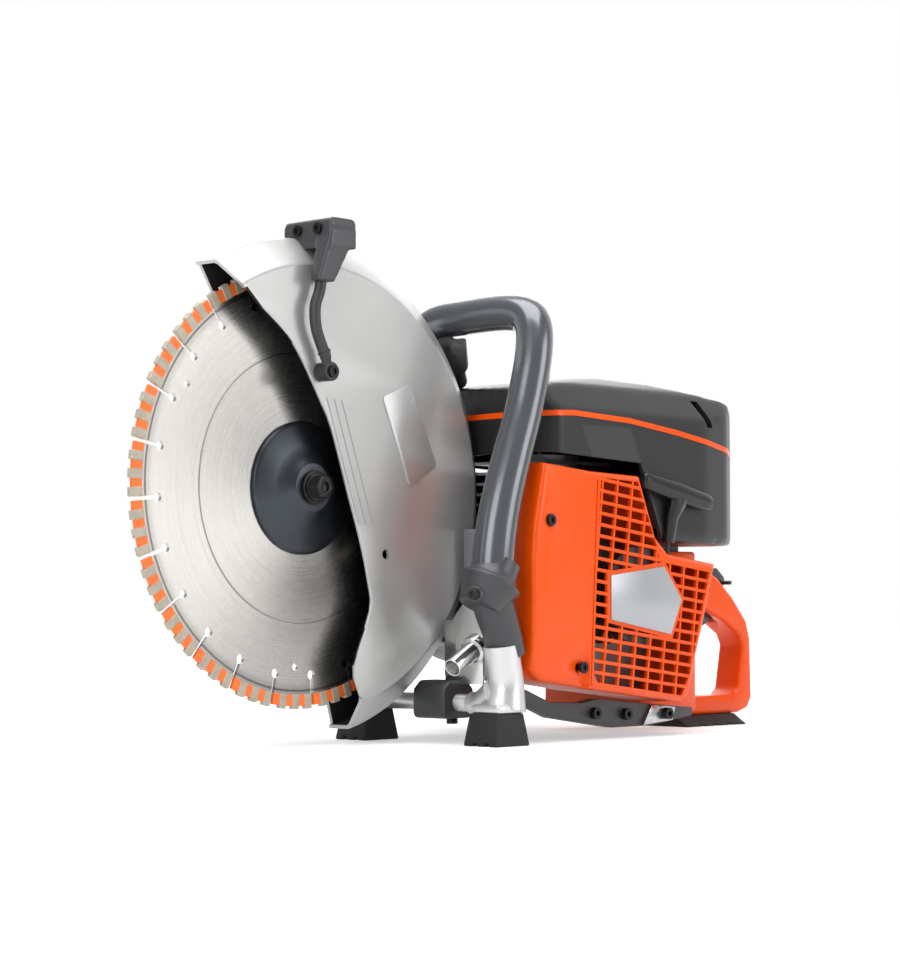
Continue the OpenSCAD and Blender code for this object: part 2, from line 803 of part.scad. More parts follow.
module starter_handle() {
  color("#2c2d30") at_body() difference() {
    union() {
      hull() for (p = [[9, 212], [90, 202]]) translate([p[0], 0, p[1]]) rod(6.5, -half_w, -half_w + 12);
      hull() {
        translate([rope_x - 16, -half_w, 203]) cube([34, 12, 4]);
        translate([rope_x - 7, -half_w + 1, 166]) cube([14, 11, 2]);
      }
    }
    translate([rope_x, rope_y, 160]) cylinder(r = rope_r, h = 20);
  }
}

module cover_screws() {
  color("#1c1c1e") at_body() {
    for (p = starter_holes) translate([p[0], -side_y, p[1]]) rotate([90, 0, 0]) screw(4.8, 2, 2.5, 16);
  }
}

// Tank and rear handle -------------------------------------------------------------------------

tank_x = 70;
tank_top = 160;
tank_side = [[tank_x, 16], [150, 16], [150, tank_top], [tank_x, tank_top]];
back = rear_reach;
foot_top = 10;
loop_out = [[150, 16], [168, foot_top], [back - 22, foot_top], [back - 6, 14], [back, 24], [back - 2, 80], [back - 8, 97],
  [back - 30, 120], [back - 52, 137], [back - 100, 158], [150, 160]];
loop_in = [[162, 27], [back - 30, 27], [back - 22, 33], [back - 14, 74], [back - 20, 84], [back - 42, 96],
  [back - 82, 112], [162, 116]];
tank_half = 56;

module fuel_tank() {
  color("orangered") at_body() difference() {
    slab(-tank_half, tank_half) polygon(tank_side);
    slab(-tank_half + 3, tank_half - 3) polygon(inset(tank_side, 3));
    translate([cap_x, 0, cap_z]) rod(cap_r + run_fit, tank_half - 12, tank_half + 1);
  }
}

cap_x = 108;
cap_z = 84;
cap_r = 17;

module fuel_cap() {
  color("#222325") at_body() translate([cap_x, 0, cap_z]) {
    rod(cap_r, tank_half - 10, tank_half + 3);
    difference() {
      rod(cap_r + 5, tank_half + 0.6, tank_half + 13);
      for (s = [-1, 1]) translate([-40, tank_half + 6, s > 0 ? 6 : -46]) cube([80, 20, 40]);
    }
  }
}

// Pivots of the trigger and of the lockout, in the plane of the handle
trigger_at = [200, 122];
lockout_at = [257, 133];
pin_fit = 2;

module rear_handle() {
  color("orangered") at_body() difference() {
    slab(-grip_half, grip_half) polygon(loop_out);
    slab(-grip_half - 1, grip_half + 1) polygon(loop_in);
    translate([194, -5, 90]) cube([56, 10, 48]);
    translate([236, -5, 124]) cube([34, 10, 40]);
    translate([176, -7, 140]) cube([20, 14, 40]);
    for (p = [trigger_at, lockout_at]) translate([p[0], 0, p[1]])
      rod(pin_fit + run_fit, -grip_half - 1, grip_half + 1);
  }
}

module throttle_trigger() {
  color("#222325") at_body() {
    slab(-4.5, 4.5) polygon([[197, 119], [197, 126], [204, 126], [240, 108], [242, 98], [224, 91], [216, 98],
      [203, 112]]);
    translate([trigger_at[0], 0, trigger_at[1]]) rod(pin_fit, -grip_half, grip_half);
  }
}

module throttle_lockout() {
  color("#222325") at_body() {
    slab(-4.5, 4.5) polygon([[238, 135], [239, 146], [250, 147], [262, 138], [262, 130]]);
    translate([lockout_at[0], 0, lockout_at[1]]) rod(pin_fit, -grip_half, grip_half);
  }
}

module stop_switch() {
  color("firebrick") at_body() translate([177, -6, 140.5]) cube([10, 12, 23]);
}

module choke_knob() {
  color("#222325") at_body() translate([120, 0, 200]) {
    rod(3, 50, 70);
    rod(7, 69, 82);
  }
}

module decompression_valve() {
  color("silver") at_body() translate([-20, fin_right, 214]) difference() {
    rod(6, 0, 14);
    rod(3 + run_fit, 2, 15);
  }
}

module decompression_button() {
  color("royalblue") at_body() translate([-20, fin_right, 214]) {
    rod(3, 8, 20);
    rod(6, 19, 25);
  }
}

// Front handle and running gear ----------------------------------------------------------------

bar_h = spindle_h + bar_rise;
leg_y = -100;
handle_route = [[-171, leg_y, 118], [-167, leg_y, 160], [-160, leg_y, 196], [-147, leg_y, 237], [-135, leg_y, 270],
  [-121, leg_y + 1, bar_h - 36], [-114, leg_y + 10, bar_h - 9], [-113, leg_y + 34, bar_h], [-114, -20, bar_h],
  [-115, 18, bar_h - 4], [-119, 36, bar_h - 26], [-126, 40, bar_h - 60], [-136, 37, bar_h - 88],
  [-142, 35, boss_top + 34], [-142, 35, boss_top + 18]];

module front_handle() {
  color("#55575b") at_body() sweep(curve(handle_route, 3), tube_r, 16, [1, 0, 0]);
}

// Kinked foot of the left leg: the sleeve above, the casting below
knee = [-171, leg_y, 104];
ankle = [-162, leg_y, 73];
heel = [-157, leg_y, 44];

collar_top = [-167.6, leg_y, 140];

module handle_sleeve() {
  r = tube_r + 3;
  down = unit(ankle - knee);
  color("#3f4043") at_body() difference() {
    union() {
      hull() {
        translate(knee) sphere(r = r, $fn = 32);
        bar(ankle, ankle - down, tube_r + 0.5, tube_r + 0.5, $fn = 32);
      }
      hull() {
        translate(knee) sphere(r = r, $fn = 32);
        bar(collar_top - [0, 0, 1], collar_top, r, r, $fn = 32);
      }
    }
    hull() {
      translate([-171.2, leg_y, 116]) cylinder(r = tube_r + 0.6, h = 1, $fn = 32);
      translate([-167, leg_y, 160]) cylinder(r = tube_r + 0.6, h = 1, $fn = 32);
    }
  }
}

module front_support() {
  down = unit(ankle - knee);
  color("#c9cbce") at_body() {
    hull() {
      bar(ankle, ankle + 2 * down, tube_r - 1);
      translate(heel) sphere(r = tube_r - 1, $fn = 24);
    }
    hull() {
      translate(heel) sphere(r = tube_r - 1, $fn = 24);
      translate([-182, leg_y - 14, foot_h]) cube([32, 28, 6]);
    }
    hull() {
      translate([-172, leg_y + 6, foot_h]) cube([20, 8, 14]);
      translate([-169, -76, foot_h]) cube([16, 6, 14]);
    }
  }
}

member_x = -161;

module cross_member() {
  z = foot_h + 7;
  color("#b9bbbe") at_body() {
    bar([member_x, -70, z], [member_x, 42, z], 7);
    bar([member_x, 35, z], [member_x, 35, strut_top], 7);
  }
}

foot_h = 26;

module foot(size, top) {
  difference() {
    hull() {
      translate([-size[0] / 2, -size[1] / 2, 0]) cube([size[0], size[1], 1]);
      translate([-top[0] / 2, -top[1] / 2, foot_h - 1]) cube([top[0], top[1], 1]);
    }
    for (i = [-1, 1]) translate([-size[0], size[1] * 0.18 * i - 2, -1]) cube([size[0] * 2, 4, 4]);
  }
}

module front_feet() {
  color("#2e2f31") at_body() {
    translate([-168, leg_y, 0]) foot([40, 36], [32, 30]);
    translate([-168, 46, 0]) foot([40, 36], [32, 30]);
  }
}

module rear_foot() {
  color("#2e2f31") at_body() translate([215, 0, 0]) difference() {
    hull() {
      translate([-45, -30, 0]) cube([90, 60, 1]);
      translate([-47, -grip_half, foot_top - 2]) cube([94, 2 * grip_half, 2]);
    }
    for (i = [-1, 0, 1]) translate([20 * i - 2, -40, -1]) cube([4, 80, 3]);
  }
}

bracket_bolts = [[-45, 22], [-4, 20], [48, 19]];

module side_bracket() {
  color("#333437") at_body() difference() {
    slab(-98, -88) polygon([[-138, 34], [-100, 20], [-20, 9], [30, 9], [90, 16], [90, 23],
      [30, 28], [-10, 31], [-40, 34], [-60, 31], [-100, 33], [-130, 44], [-138, 44]]);
    for (p = bracket_bolts) translate([p[0], 0, p[1]]) rod(3, -102, -86);
  }
  color("#333437") at_body() translate([tank_x, -88, 16]) cube([20, 88 - tank_half, 7]);
}

module bracket_plate() {
  color("#9c9ea1") at_body() difference() {
    slab(-101, -98) polygon([[18, 10], [58, 13], [62, 24], [30, 27]]);
    for (p = bracket_bolts) translate([p[0], 0, p[1]]) rod(3, -102, -86);
  }
}

module frame_screws() {
  color("#1a1a1a") at_body() for (i = [0 : 2])
    translate([bracket_bolts[i][0], i == 2 ? -101 : -98, bracket_bolts[i][1]]) rotate([90, 0, 0]) screw(5, 5, 3, 6);
}

mount_from = [-104, 6, spindle_h + 112];
mount_to = [-82, 22, spindle_h + 99];

module handle_bracket() {
  color("#4a4b4e") at_body() difference() {
    hull() {
      translate([-124, -8, bar_h - 24]) cube([20, 26, 8]);
      bar(mount_from, mount_from + unit(mount_to - mount_from) * 3, 12);
    }
    bar([-114, -20, bar_h], [-115, 14, bar_h - 2], tube_r + 1);
    bar([-115, 10, bar_h - 1.5], [-118, 38, bar_h - 18], tube_r + 1);
  }
}

module av_mounts() {
  step = unit(mount_to - mount_from);
  color("#1f1f20") at_body() {
    bar(mount_from + 3 * step, mount_to - 0.6 * step, 8);
    translate([-142, 35, boss_top]) cylinder(r = 10, h = 17.4);
    for (y = [-34, 18]) translate([58, y, 66]) rotate([0, 90, 0]) cylinder(r = 10, h = tank_x - 58);
  }
}

blade_core();
blade_segments();
inner_flange();
outer_flange();
bolt_washer();
blade_bolt();
spindle_shaft();
driven_pulley();
blade_guard();
guard_grip();
guard_screws();
water_hose();
water_nozzle();
cutting_arm();
spindle_bearings();
drive_belt();
belt_guard();
clutch_cover();
clutch_drum();
clutch_shoes();
crankshaft();
flywheel();
crankcase();
cylinder_();  // cylinder
piston();
spark_plug();
muffler();
heat_shield();
exhaust_stub();
carburettor();
air_filter();
filter_base();
top_cover();
cover_stripe();
cover_screws();
starter_cover();
starter_plate();
starter_pulley();
starter_rope();
starter_handle();
fuel_tank();
fuel_cap();
rear_handle();
throttle_trigger();
throttle_lockout();
stop_switch();
choke_knob();
decompression_valve();
decompression_button();
front_handle();
handle_sleeve();
front_support();
cross_member();
front_feet();
rear_foot();
side_bracket();
bracket_plate();
frame_screws();
handle_bracket();
av_mounts();
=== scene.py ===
import math

import bmesh
import bpy
from mathutils import Matrix, Vector


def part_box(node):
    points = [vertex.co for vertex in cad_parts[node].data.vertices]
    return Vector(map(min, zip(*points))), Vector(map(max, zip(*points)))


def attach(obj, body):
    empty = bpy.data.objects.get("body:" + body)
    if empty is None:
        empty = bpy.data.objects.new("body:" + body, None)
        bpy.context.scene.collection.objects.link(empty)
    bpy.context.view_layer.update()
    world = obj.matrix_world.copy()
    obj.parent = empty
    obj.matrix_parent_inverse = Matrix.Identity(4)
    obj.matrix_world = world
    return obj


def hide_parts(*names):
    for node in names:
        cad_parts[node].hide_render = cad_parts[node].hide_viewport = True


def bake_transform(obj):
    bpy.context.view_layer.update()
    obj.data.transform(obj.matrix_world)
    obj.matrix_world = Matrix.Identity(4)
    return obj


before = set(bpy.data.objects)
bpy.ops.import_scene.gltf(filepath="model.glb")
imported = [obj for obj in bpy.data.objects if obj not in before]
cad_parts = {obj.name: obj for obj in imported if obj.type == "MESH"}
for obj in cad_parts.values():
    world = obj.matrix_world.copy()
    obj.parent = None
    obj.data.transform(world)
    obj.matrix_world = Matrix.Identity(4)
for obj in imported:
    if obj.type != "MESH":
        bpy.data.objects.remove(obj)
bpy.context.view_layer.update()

# Places taken from the frame ------------------------------------------------------------------

MM = 0.001


def middle(node):
    low, high = (Vector(c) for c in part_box(node))
    return (low + high) / 2


HUB = middle("blade_core")
HUB.y = 0
FLOOR_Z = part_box("front_feet")[0][2]
BODY_X = HUB.x + 0.290


def at_hub(x, y, z):
    return Vector((HUB.x + x * MM, y * MM, HUB.z + z * MM))


def at_body(x, y, z):
    return Vector((BODY_X + x * MM, y * MM, z * MM))


# Shader expressions ---------------------------------------------------------------------------


class Wire:
    """One output socket that arithmetic can be written on."""

    def __init__(self, graph, socket):
        self.graph = graph
        self.socket = socket

    def calc(self, operation, *others, clamp=False):
        return self.graph.node("ShaderNodeMath", {"operation": operation, "use_clamp": clamp}, self, *others)

    def __add__(self, other):
        return self.calc("ADD", other)

    __radd__ = __add__

    def __mul__(self, other):
        return self.calc("MULTIPLY", other)

    __rmul__ = __mul__

    def __sub__(self, other):
        return self.calc("SUBTRACT", other)

    def __rsub__(self, other):
        return self.graph.node("ShaderNodeMath", {"operation": "SUBTRACT"}, other, self)

    def __truediv__(self, other):
        return self.calc("DIVIDE", other)

    def above(self, edge, soft=0.0005):
        """0 below the edge and 1 above it, with a soft step."""
        return ((self - edge) / soft + 0.5).calc("MINIMUM", 1.0).calc("MAXIMUM", 0.0)

    def between(self, low, high, soft=0.0005):
        return self.above(low, soft) * (1.0 - self.above(high, soft))


class Graph:
    """A material's nodes, with its Principled shader ready."""

    def __init__(self, name):
        self.material = bpy.data.materials.new(name)
        self.material.use_nodes = True
        self.tree = self.material.node_tree
        self.shader = self.tree.nodes["Principled BSDF"]

    def node(self, kind, settings=None, *values, out=0, **named):
        made = self.tree.nodes.new(kind)
        for key, value in (settings or {}).items():
            if key == "stops":
                while len(made.color_ramp.elements) < len(value):
                    made.color_ramp.elements.new(0.5)
                for stop, (place, colour) in zip(made.color_ramp.elements, value):
                    stop.position = place
                    stop.color = colour
            else:
                setattr(made, key, value)
        for index, value in enumerate(values):
            self.feed(made.inputs[index], value)
        for key, value in named.items():
            self.feed(made.inputs[key.replace("_", " ")], value)
        return Wire(self, made.outputs[out])

    def feed(self, socket, value):
        if isinstance(value, Wire):
            self.tree.links.new(value.socket, socket)
        elif value is not None:
            socket.default_value = value

    def set(self, name, value):
        self.feed(self.shader.inputs[name], value)

    def place(self, centre=(0, 0, 0), scale=(1, 1, 1), turn=(0, 0, 0)):
        """Object coordinates about a centre."""
        coords = self.node("ShaderNodeTexCoord", None, out=3)
        moved = self.node("ShaderNodeVectorMath", {"operation": "SUBTRACT"}, coords, tuple(centre))
        if tuple(turn) == (0, 0, 0) and tuple(scale) == (1, 1, 1):
            return moved
        return self.node("ShaderNodeMapping", {"vector_type": "POINT"}, moved, None, tuple(turn),
                         tuple(scale))

    def parts(self, vector):
        made = self.tree.nodes.new("ShaderNodeSeparateXYZ")
        self.feed(made.inputs[0], vector)
        return [Wire(self, made.outputs[i]) for i in range(3)]

    def noise(self, vector, scale, detail=3.0, rough=0.55):
        return self.node("ShaderNodeTexNoise", {"noise_dimensions": "3D"}, Vector=vector, Scale=scale,
                         Detail=detail, Roughness=rough)

    def mix(self, factor, first, second, blend="MIX"):
        made = self.tree.nodes.new("ShaderNodeMix")
        made.data_type = "RGBA"
        made.blend_type = blend
        self.feed(made.inputs[0], factor)
        self.feed(made.inputs[6], first)
        self.feed(made.inputs[7], second)
        return Wire(self, made.outputs[2])

    def bump(self, height, strength, distance=0.0005, normal=None):
        return self.node("ShaderNodeBump", None, Strength=strength, Distance=distance, Height=height,
                         Normal=normal)


def colour(red, green, blue):
    """Screen colour, 0 to 255, as the linear value that shaders take."""
    def linear(c):
        c = c / 255
        return c / 12.92 if c <= 0.04045 else ((c + 0.055) / 1.055) ** 2.4
    return (linear(red), linear(green), linear(blue), 1.0)


def shade(rgba, factor):
    return (min(rgba[0] * factor, 1), min(rgba[1] * factor, 1), min(rgba[2] * factor, 1), 1.0)


def coated(name, tone, rough, metal=0.0, grain=900.0, relief=0.15, vary=0.12, coat=0.0, smear=0.06,
           specular=0.5):
    """A painted, moulded or cast surface: fine grain, cloudy tone and slightly uneven gloss."""
    g = Graph(name)
    here = g.place()
    cloud = g.noise(here, 14.0, 4.0)
    fine = g.noise(here, grain, 2.0, 0.6)
    g.set("Base Color", g.mix(cloud, shade(tone, 1 - vary), shade(tone, 1 + vary)))
    g.set("Roughness", (g.noise(here, 60.0, 3.0) - 0.5) * smear * 2 + (fine - 0.5) * smear + rough)
    g.set("Metallic", metal)
    g.set("Specular IOR Level", specular)
    if coat:
        g.set("Coat Weight", coat)
        g.set("Coat Roughness", 0.12)
    g.set("Normal", g.bump(fine, relief, 0.0004))
    return g.material


def turned(name, tone, rough, centre, metal=1.0, pitch=2600.0, relief=0.12, aniso=0.0, vary=0.12, axis="y"):
    """Metal turned or brushed in rings about an axis."""
    g = Graph(name)
    x, y, z = g.parts(g.place(centre))
    a, b = (x, z) if axis == "y" else (y, z)
    radius = (a * a + b * b).calc("SQRT")
    ring = g.node("ShaderNodeCombineXYZ", None, radius * pitch, 0.0, 0.0)
    ring_noise = g.noise(ring, 1.0, 2.0, 0.7)
    wide_ring = g.noise(g.node("ShaderNodeCombineXYZ", None, radius * 240.0, 0.0, 0.0), 1.0, 3.0)
    cloud = g.noise(g.place(centre), 22.0, 3.0)
    g.set("Base Color", g.mix(ring_noise * 0.6 + wide_ring * 0.4, shade(tone, 1 - vary),
                              shade(tone, 1 + vary)))
    g.set("Roughness", (ring_noise - 0.5) * 0.18 + (cloud - 0.5) * 0.1 + rough)
    g.set("Metallic", metal)
    if aniso:
        g.set("Anisotropic", aniso)
        g.set("Tangent", g.node("ShaderNodeTangent", {"direction_type": "RADIAL", "axis": "Y"}))
    g.set("Normal", g.bump(ring_noise * 0.7 + wide_ring * 0.3, relief, 0.0003))
    return g.material


# Mesh helpers ---------------------------------------------------------------------------------


def from_cad(node, flat=1.0, weld=0.02):
    """A merged copy of a CAD node's mesh with its flat areas joined."""
    bm = bmesh.new()
    bm.from_mesh(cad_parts[node].data)
    bmesh.ops.remove_doubles(bm, verts=bm.verts, dist=weld * MM)
    bmesh.ops.dissolve_limit(bm, angle_limit=math.radians(flat), verts=bm.verts, edges=bm.edges)
    return bm


def soften(bm, width, segments=2, sharp=28, keep=lambda edge: True):
    """Rounds the edges that turn by more than sharp degrees."""
    edges = [e for e in bm.edges if e.is_manifold and e.calc_face_angle(0) > math.radians(sharp)
             and e.calc_length() > width * 0.4 and keep(e)]
    bmesh.ops.bevel(bm, geom=edges, offset=width, affect="EDGES", segments=segments, profile=0.5,
                    material=-1, clamp_overlap=False, loop_slide=True)
    return bm


def smooth_by_angle(bm, limit):
    for face in bm.faces:
        face.smooth = True
    for edge in bm.edges:
        edge.smooth = not (len(edge.link_faces) == 2 and edge.calc_face_angle(0) > math.radians(limit))


def piece(bm, name, surfaces, body="root", instead=(), limit=35):
    """Turns a bmesh into a finished piece that rides on a body and stands for CAD nodes."""
    smooth_by_angle(bm, limit)
    mesh = bpy.data.meshes.new(name)
    bm.to_mesh(mesh)
    bm.free()
    for surface in surfaces if isinstance(surfaces, (list, tuple)) else [surfaces]:
        mesh.materials.append(surface)
    obj = bpy.data.objects.new(name, mesh)
    bpy.context.scene.collection.objects.link(obj)
    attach(obj, body)
    if instead:
        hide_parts(*instead)
    return obj


def rounded_copy(node, name, surface, width, body="root", segments=2, sharp=28):
    return piece(soften(from_cad(node), width * MM, segments, sharp), name, surface, body, [node])


def dress(surface, *nodes):
    """Gives CAD nodes that keep their own shape a better surface."""
    for node in nodes:
        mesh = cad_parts[node].data
        mesh.materials.clear()
        mesh.materials.append(surface)


# Surfaces -------------------------------------------------------------------------------------

ORANGE = colour(234, 79, 0)

guard_paint = coated("satin_silver_paint", colour(174, 174, 173), 0.33, metal=0.45, grain=1400, relief=0.10,
                     vary=0.05, smear=0.05)
# near-black colour for the guard's inner faces: painted shade for the inside of the guard
painted_guard_shade = coated("guard_inside_painted_shade", colour(24, 24, 25), 0.7, grain=700, relief=0.2)
charcoal = coated("grained_charcoal_plastic", colour(44, 45, 46), 0.40, grain=1700, relief=0.28, vary=0.07)
grip_plastic = coated("grip_plastic", colour(56, 57, 60), 0.36, grain=1200, relief=0.2, vary=0.08)
orange_plastic = coated("glossy_orange_plastic", ORANGE, 0.30, grain=500, relief=0.05, vary=0.05, coat=0.1,
                        smear=0.05, specular=0.25)
handle_paint = coated("satin_tube_paint", colour(92, 95, 100), 0.23, metal=0.6, grain=1500, relief=0.06,
                      vary=0.05, coat=0.35)
dark_grip = coated("dark_grip_plastic", colour(22, 23, 25), 0.30, grain=1200, relief=0.15, vary=0.08,
                   specular=0.35)
rubber = coated("black_rubber", colour(34, 34, 35), 0.66, grain=800, relief=0.3, vary=0.12, specular=0.35)
hose_rubber = coated("hose_rubber", colour(40, 41, 43), 0.45, grain=1300, relief=0.15)
cast_alloy = coated("cast_alloy", colour(206, 207, 208), 0.36, metal=0.75, grain=700, relief=0.25, vary=0.07)
case_alloy = coated("case_alloy", colour(150, 152, 155), 0.45, metal=0.8, grain=700, relief=0.3, vary=0.12)
black_screw = coated("black_oxide_steel", colour(30, 30, 31), 0.36, metal=0.6, grain=1500, relief=0.1,
                     vary=0.15)
zinc = coated("zinc_plate", colour(190, 192, 194), 0.28, metal=0.95, grain=500, relief=0.08, vary=0.08)
bright_steel = coated("bright_stainless", colour(214, 214, 213), 0.18, metal=1.0, grain=300, relief=0.05,
                      vary=0.06, smear=0.08)
label_metal = coated("bare_label_plate", colour(166, 168, 172), 0.34, metal=0.5, grain=1600, relief=0.06,
                     vary=0.04)
blue_cap = coated("blue_cap", colour(40, 70, 160), 0.4, grain=900, relief=0.1)
foam = coated("filter_foam", colour(46, 47, 49), 0.9, grain=420, relief=0.8)
rope_fibre = coated("rope_fibre", colour(58, 59, 62), 0.8, grain=900, relief=0.6)
flange_steel = turned("dark_flange_steel", colour(62, 66, 72), 0.34, HUB, metal=0.85, relief=0.10, pitch=1800)

# Made pieces ----------------------------------------------------------------------------------


def tube(path, radii, sides=28, oval=None):
    """A closed tube through a path, with a radius and (width, height) factors at each point."""
    bm = bmesh.new()
    rings = []
    side = None
    for i, point in enumerate(path):
        along = (path[min(i + 1, len(path) - 1)] - path[max(i - 1, 0)]).normalized()
        side = (Vector((0, 1, 0)) if side is None else side)
        side = (side - along * side.dot(along)).normalized()
        turn = Matrix((side.cross(along), side, along)).transposed().to_4x4()
        size = oval[i] if oval else (1, 1)
        ring = bmesh.ops.create_circle(bm, segments=sides, radius=radii[i],
                                       matrix=Matrix.Translation(point) @ turn @ Matrix.Diagonal((*size, 1,
                                                                                                  1)))
        rings.append([e for v in ring["verts"] for e in v.link_edges if e.other_vert(v) in ring["verts"]])
    for first, second in zip(rings, rings[1:]):
        bmesh.ops.bridge_loops(bm, edges=list(set(first + second)))
    bmesh.ops.contextual_create(bm, geom=list(set(rings[0])))
    bmesh.ops.contextual_create(bm, geom=list(set(rings[-1])))
    bmesh.ops.recalc_face_normals(bm, faces=bm.faces)
    return bm


def curve_through(points, steps):
    """Points of a smooth curve through the given ones."""
    made = []
    for i in range(len(points) - 1):
        a, b, c, d = (points[max(i - 1, 0)], points[i], points[i + 1], points[min(i + 2, len(points) - 1)])
        for j in range(steps):
            t = j / steps
            made.append(0.5 * (2 * b + (c - a) * t + (2 * a - 5 * b + 4 * c - d) * t * t
                               + (3 * b - a - 3 * c + d) * t ** 3))
    return made + [points[-1].copy()]


def steady(values, steps):
    """The same smoothing for a list of numbers."""
    return [v.x for v in curve_through([Vector((v, 0, 0)) for v in values], steps)]


def prism(outline, y0, y1):
    """A slab with an XZ outline between two stations across the machine. Points are Vectors."""
    bm = bmesh.new()
    face = bm.faces.new([bm.verts.new((p.x, y0 * MM, p.z)) for p in outline])
    made = bmesh.ops.extrude_face_region(bm, geom=[face])
    verts = [v for v in made["geom"] if isinstance(v, bmesh.types.BMVert)]
    bmesh.ops.translate(bm, verts=verts, vec=(0, (y1 - y0) * MM, 0))
    bmesh.ops.recalc_face_normals(bm, faces=bm.faces)
    return bm


def as_object(bm, name="scratch"):
    mesh = bpy.data.meshes.new(name)
    bm.to_mesh(mesh)
    bm.free()
    obj = bpy.data.objects.new(name, mesh)
    bpy.context.scene.collection.objects.link(obj)
    return obj


def combine(first, second, operation="DIFFERENCE"):
    """Boolean of two bmeshes; both are used up."""
    a, b = as_object(first), as_object(second)
    step = a.modifiers.new("cut", "BOOLEAN")
    step.operation = operation
    step.solver = "EXACT"
    step.object = b
    bpy.context.view_layer.update()
    mesh = bpy.data.meshes.new_from_object(a.evaluated_get(bpy.context.evaluated_depsgraph_get()))
    bm = bmesh.new()
    bm.from_mesh(mesh)
    for obj in (a, b):
        data = obj.data
        bpy.data.objects.remove(obj)
        bpy.data.meshes.remove(data)
    bpy.data.meshes.remove(mesh)
    return bm


def join(*parts):
    """Several bmeshes as one."""
    whole = bmesh.new()
    for part in parts:
        mesh = bpy.data.meshes.new("part")
        part.to_mesh(mesh)
        part.free()
        whole.from_mesh(mesh)
        bpy.data.meshes.remove(mesh)
    return whole


def paint(bm, index, test):
    for face in bm.faces:
        if test(face):
            face.material_index = index
    return bm


def deep(edge, depth):
    """True for an edge of a face that runs far across the machine."""
    return any(max(v.co.y for v in f.verts) - min(v.co.y for v in f.verts) > depth * MM
               for f in edge.link_faces)


# Blade ----------------------------------------------------------------------------------------

SLOTS = 24
CORE_R = (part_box("blade_core")[1][0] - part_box("blade_core")[0][0]) / 2 / MM
RIM_R = (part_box("blade_segments")[1][0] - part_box("blade_segments")[0][0]) / 2 / MM


def tooth(angle, inner, outer, width, thick, ease=0.35):
    bm = bmesh.new()
    bmesh.ops.create_cube(bm, size=1.0)
    bmesh.ops.scale(bm, verts=bm.verts, vec=(width * MM, thick * MM, (outer - inner) * MM))
    soften(bm, ease * MM, 1)
    turn = Matrix.Rotation(math.radians(angle), 4, "Y")
    bmesh.ops.transform(bm, verts=bm.verts, matrix=Matrix.Translation(HUB) @ turn
                        @ Matrix.Translation((0, 0, (inner + outer) / 2 * MM)))
    return bm


def cutting_rim():
    pitch = 360 / SLOTS
    gap = math.degrees(3.4 / RIM_R)
    blocks = 6
    step = (pitch - gap) / blocks
    width = RIM_R * math.radians(step)
    first = slot_angle()
    for kind, name, surface, part in ((0, "rim_teeth", sintered, 1.02), (1, "rim_inlays", orange_inlay,
                                                                         0.98)):
        whole = []
        for s in range(SLOTS):
            for b in range(kind, blocks, 2):
                angle = first + s * pitch + gap / 2 + (b + 0.5) * step
                if kind:
                    whole.append(tooth(angle, CORE_R - 0.2, RIM_R - 2.4, width * part, 3.5, 0.25))
                else:
                    whole.append(tooth(angle, CORE_R - 0.4, RIM_R - 0.15, width * part, 4.4, 0.4))
        stands_for = ["blade_segments"] if kind == 0 else []
        piece(join(*whole), name, surface, "blade", stands_for)


def slot_angle():
    """Angle of the first slot from straight up, about +Y."""
    return 90 - 124.5


def blade_finish():
    g = Graph("brushed_blade_steel")
    x, _, z = g.parts(g.place(HUB))
    radius = (x * x + z * z).calc("SQRT")
    ring = g.noise(g.node("ShaderNodeCombineXYZ", None, radius * 3200.0, 0.0, 0.0), 1.0, 2.0, 0.7)
    wide = g.noise(g.node("ShaderNodeCombineXYZ", None, radius * 260.0, 0.0, 0.0), 1.0, 3.0)
    cloud = g.noise(g.place(HUB), 18.0, 3.0)
    tone = g.mix(ring * 0.55 + wide * 0.45, colour(150, 148, 144), colour(196, 194, 190))
    # ring groove: a dip in the bump, and a darker colour that is painted shade inside the groove
    groove_and_shade = radius.between(0.1066, 0.1076, 0.0004)
    edge = radius.between(0.1595, 0.1612, 0.0006)
    # the blade's colour gets darker towards the rim
    darker_near_rim = radius.above(0.156, 0.006) * 0.35
    tone = g.mix(groove_and_shade * 0.75 + edge * 0.55 + darker_near_rim, tone, colour(92, 88, 84))
    g.set("Base Color", tone)
    g.set("Roughness", (ring - 0.5) * 0.16 + (cloud - 0.5) * 0.10 + 0.27)
    g.set("Metallic", 1.0)
    g.set("Anisotropic", 0.8)
    g.set("Tangent", g.node("ShaderNodeTangent", {"direction_type": "RADIAL", "axis": "Y"}))
    g.set("Normal", g.bump(ring * 0.6 - groove_and_shade * 1.2 - edge, 0.14, 0.0003))
    return g.material


def sinter_finish():
    g = Graph("diamond_sinter")
    here = g.place()
    grit = g.noise(here, 2600.0, 2.0, 0.7)
    cloud = g.noise(here, 120.0, 3.0)
    tone = g.mix(cloud, colour(150, 142, 128), colour(196, 188, 172))
    # pale diamond grit specks: partly the grit's own lighter colour, partly painted glint in their near-white
    grit_specks_and_glint = grit.above(0.66, 0.05)
    g.set("Base Color", g.mix(grit_specks_and_glint * 0.6, tone, colour(232, 228, 216)))
    g.set("Roughness", 0.62 - grit_specks_and_glint * 0.25)
    g.set("Metallic", 0.35)
    g.set("Normal", g.bump(grit, 0.6, 0.0004))
    return g.material


def inlay_finish():
    g = Graph("orange_inlay")
    here = g.place()
    chips = g.noise(here, 420.0, 4.0, 0.7)
    g.set("Base Color", g.mix(chips.above(0.7, 0.06) * 0.8, colour(244, 112, 40), colour(170, 160, 146)))
    g.set("Roughness", chips * 0.3 + 0.4)
    g.set("Normal", g.bump(chips, 0.35, 0.0004))
    return g.material


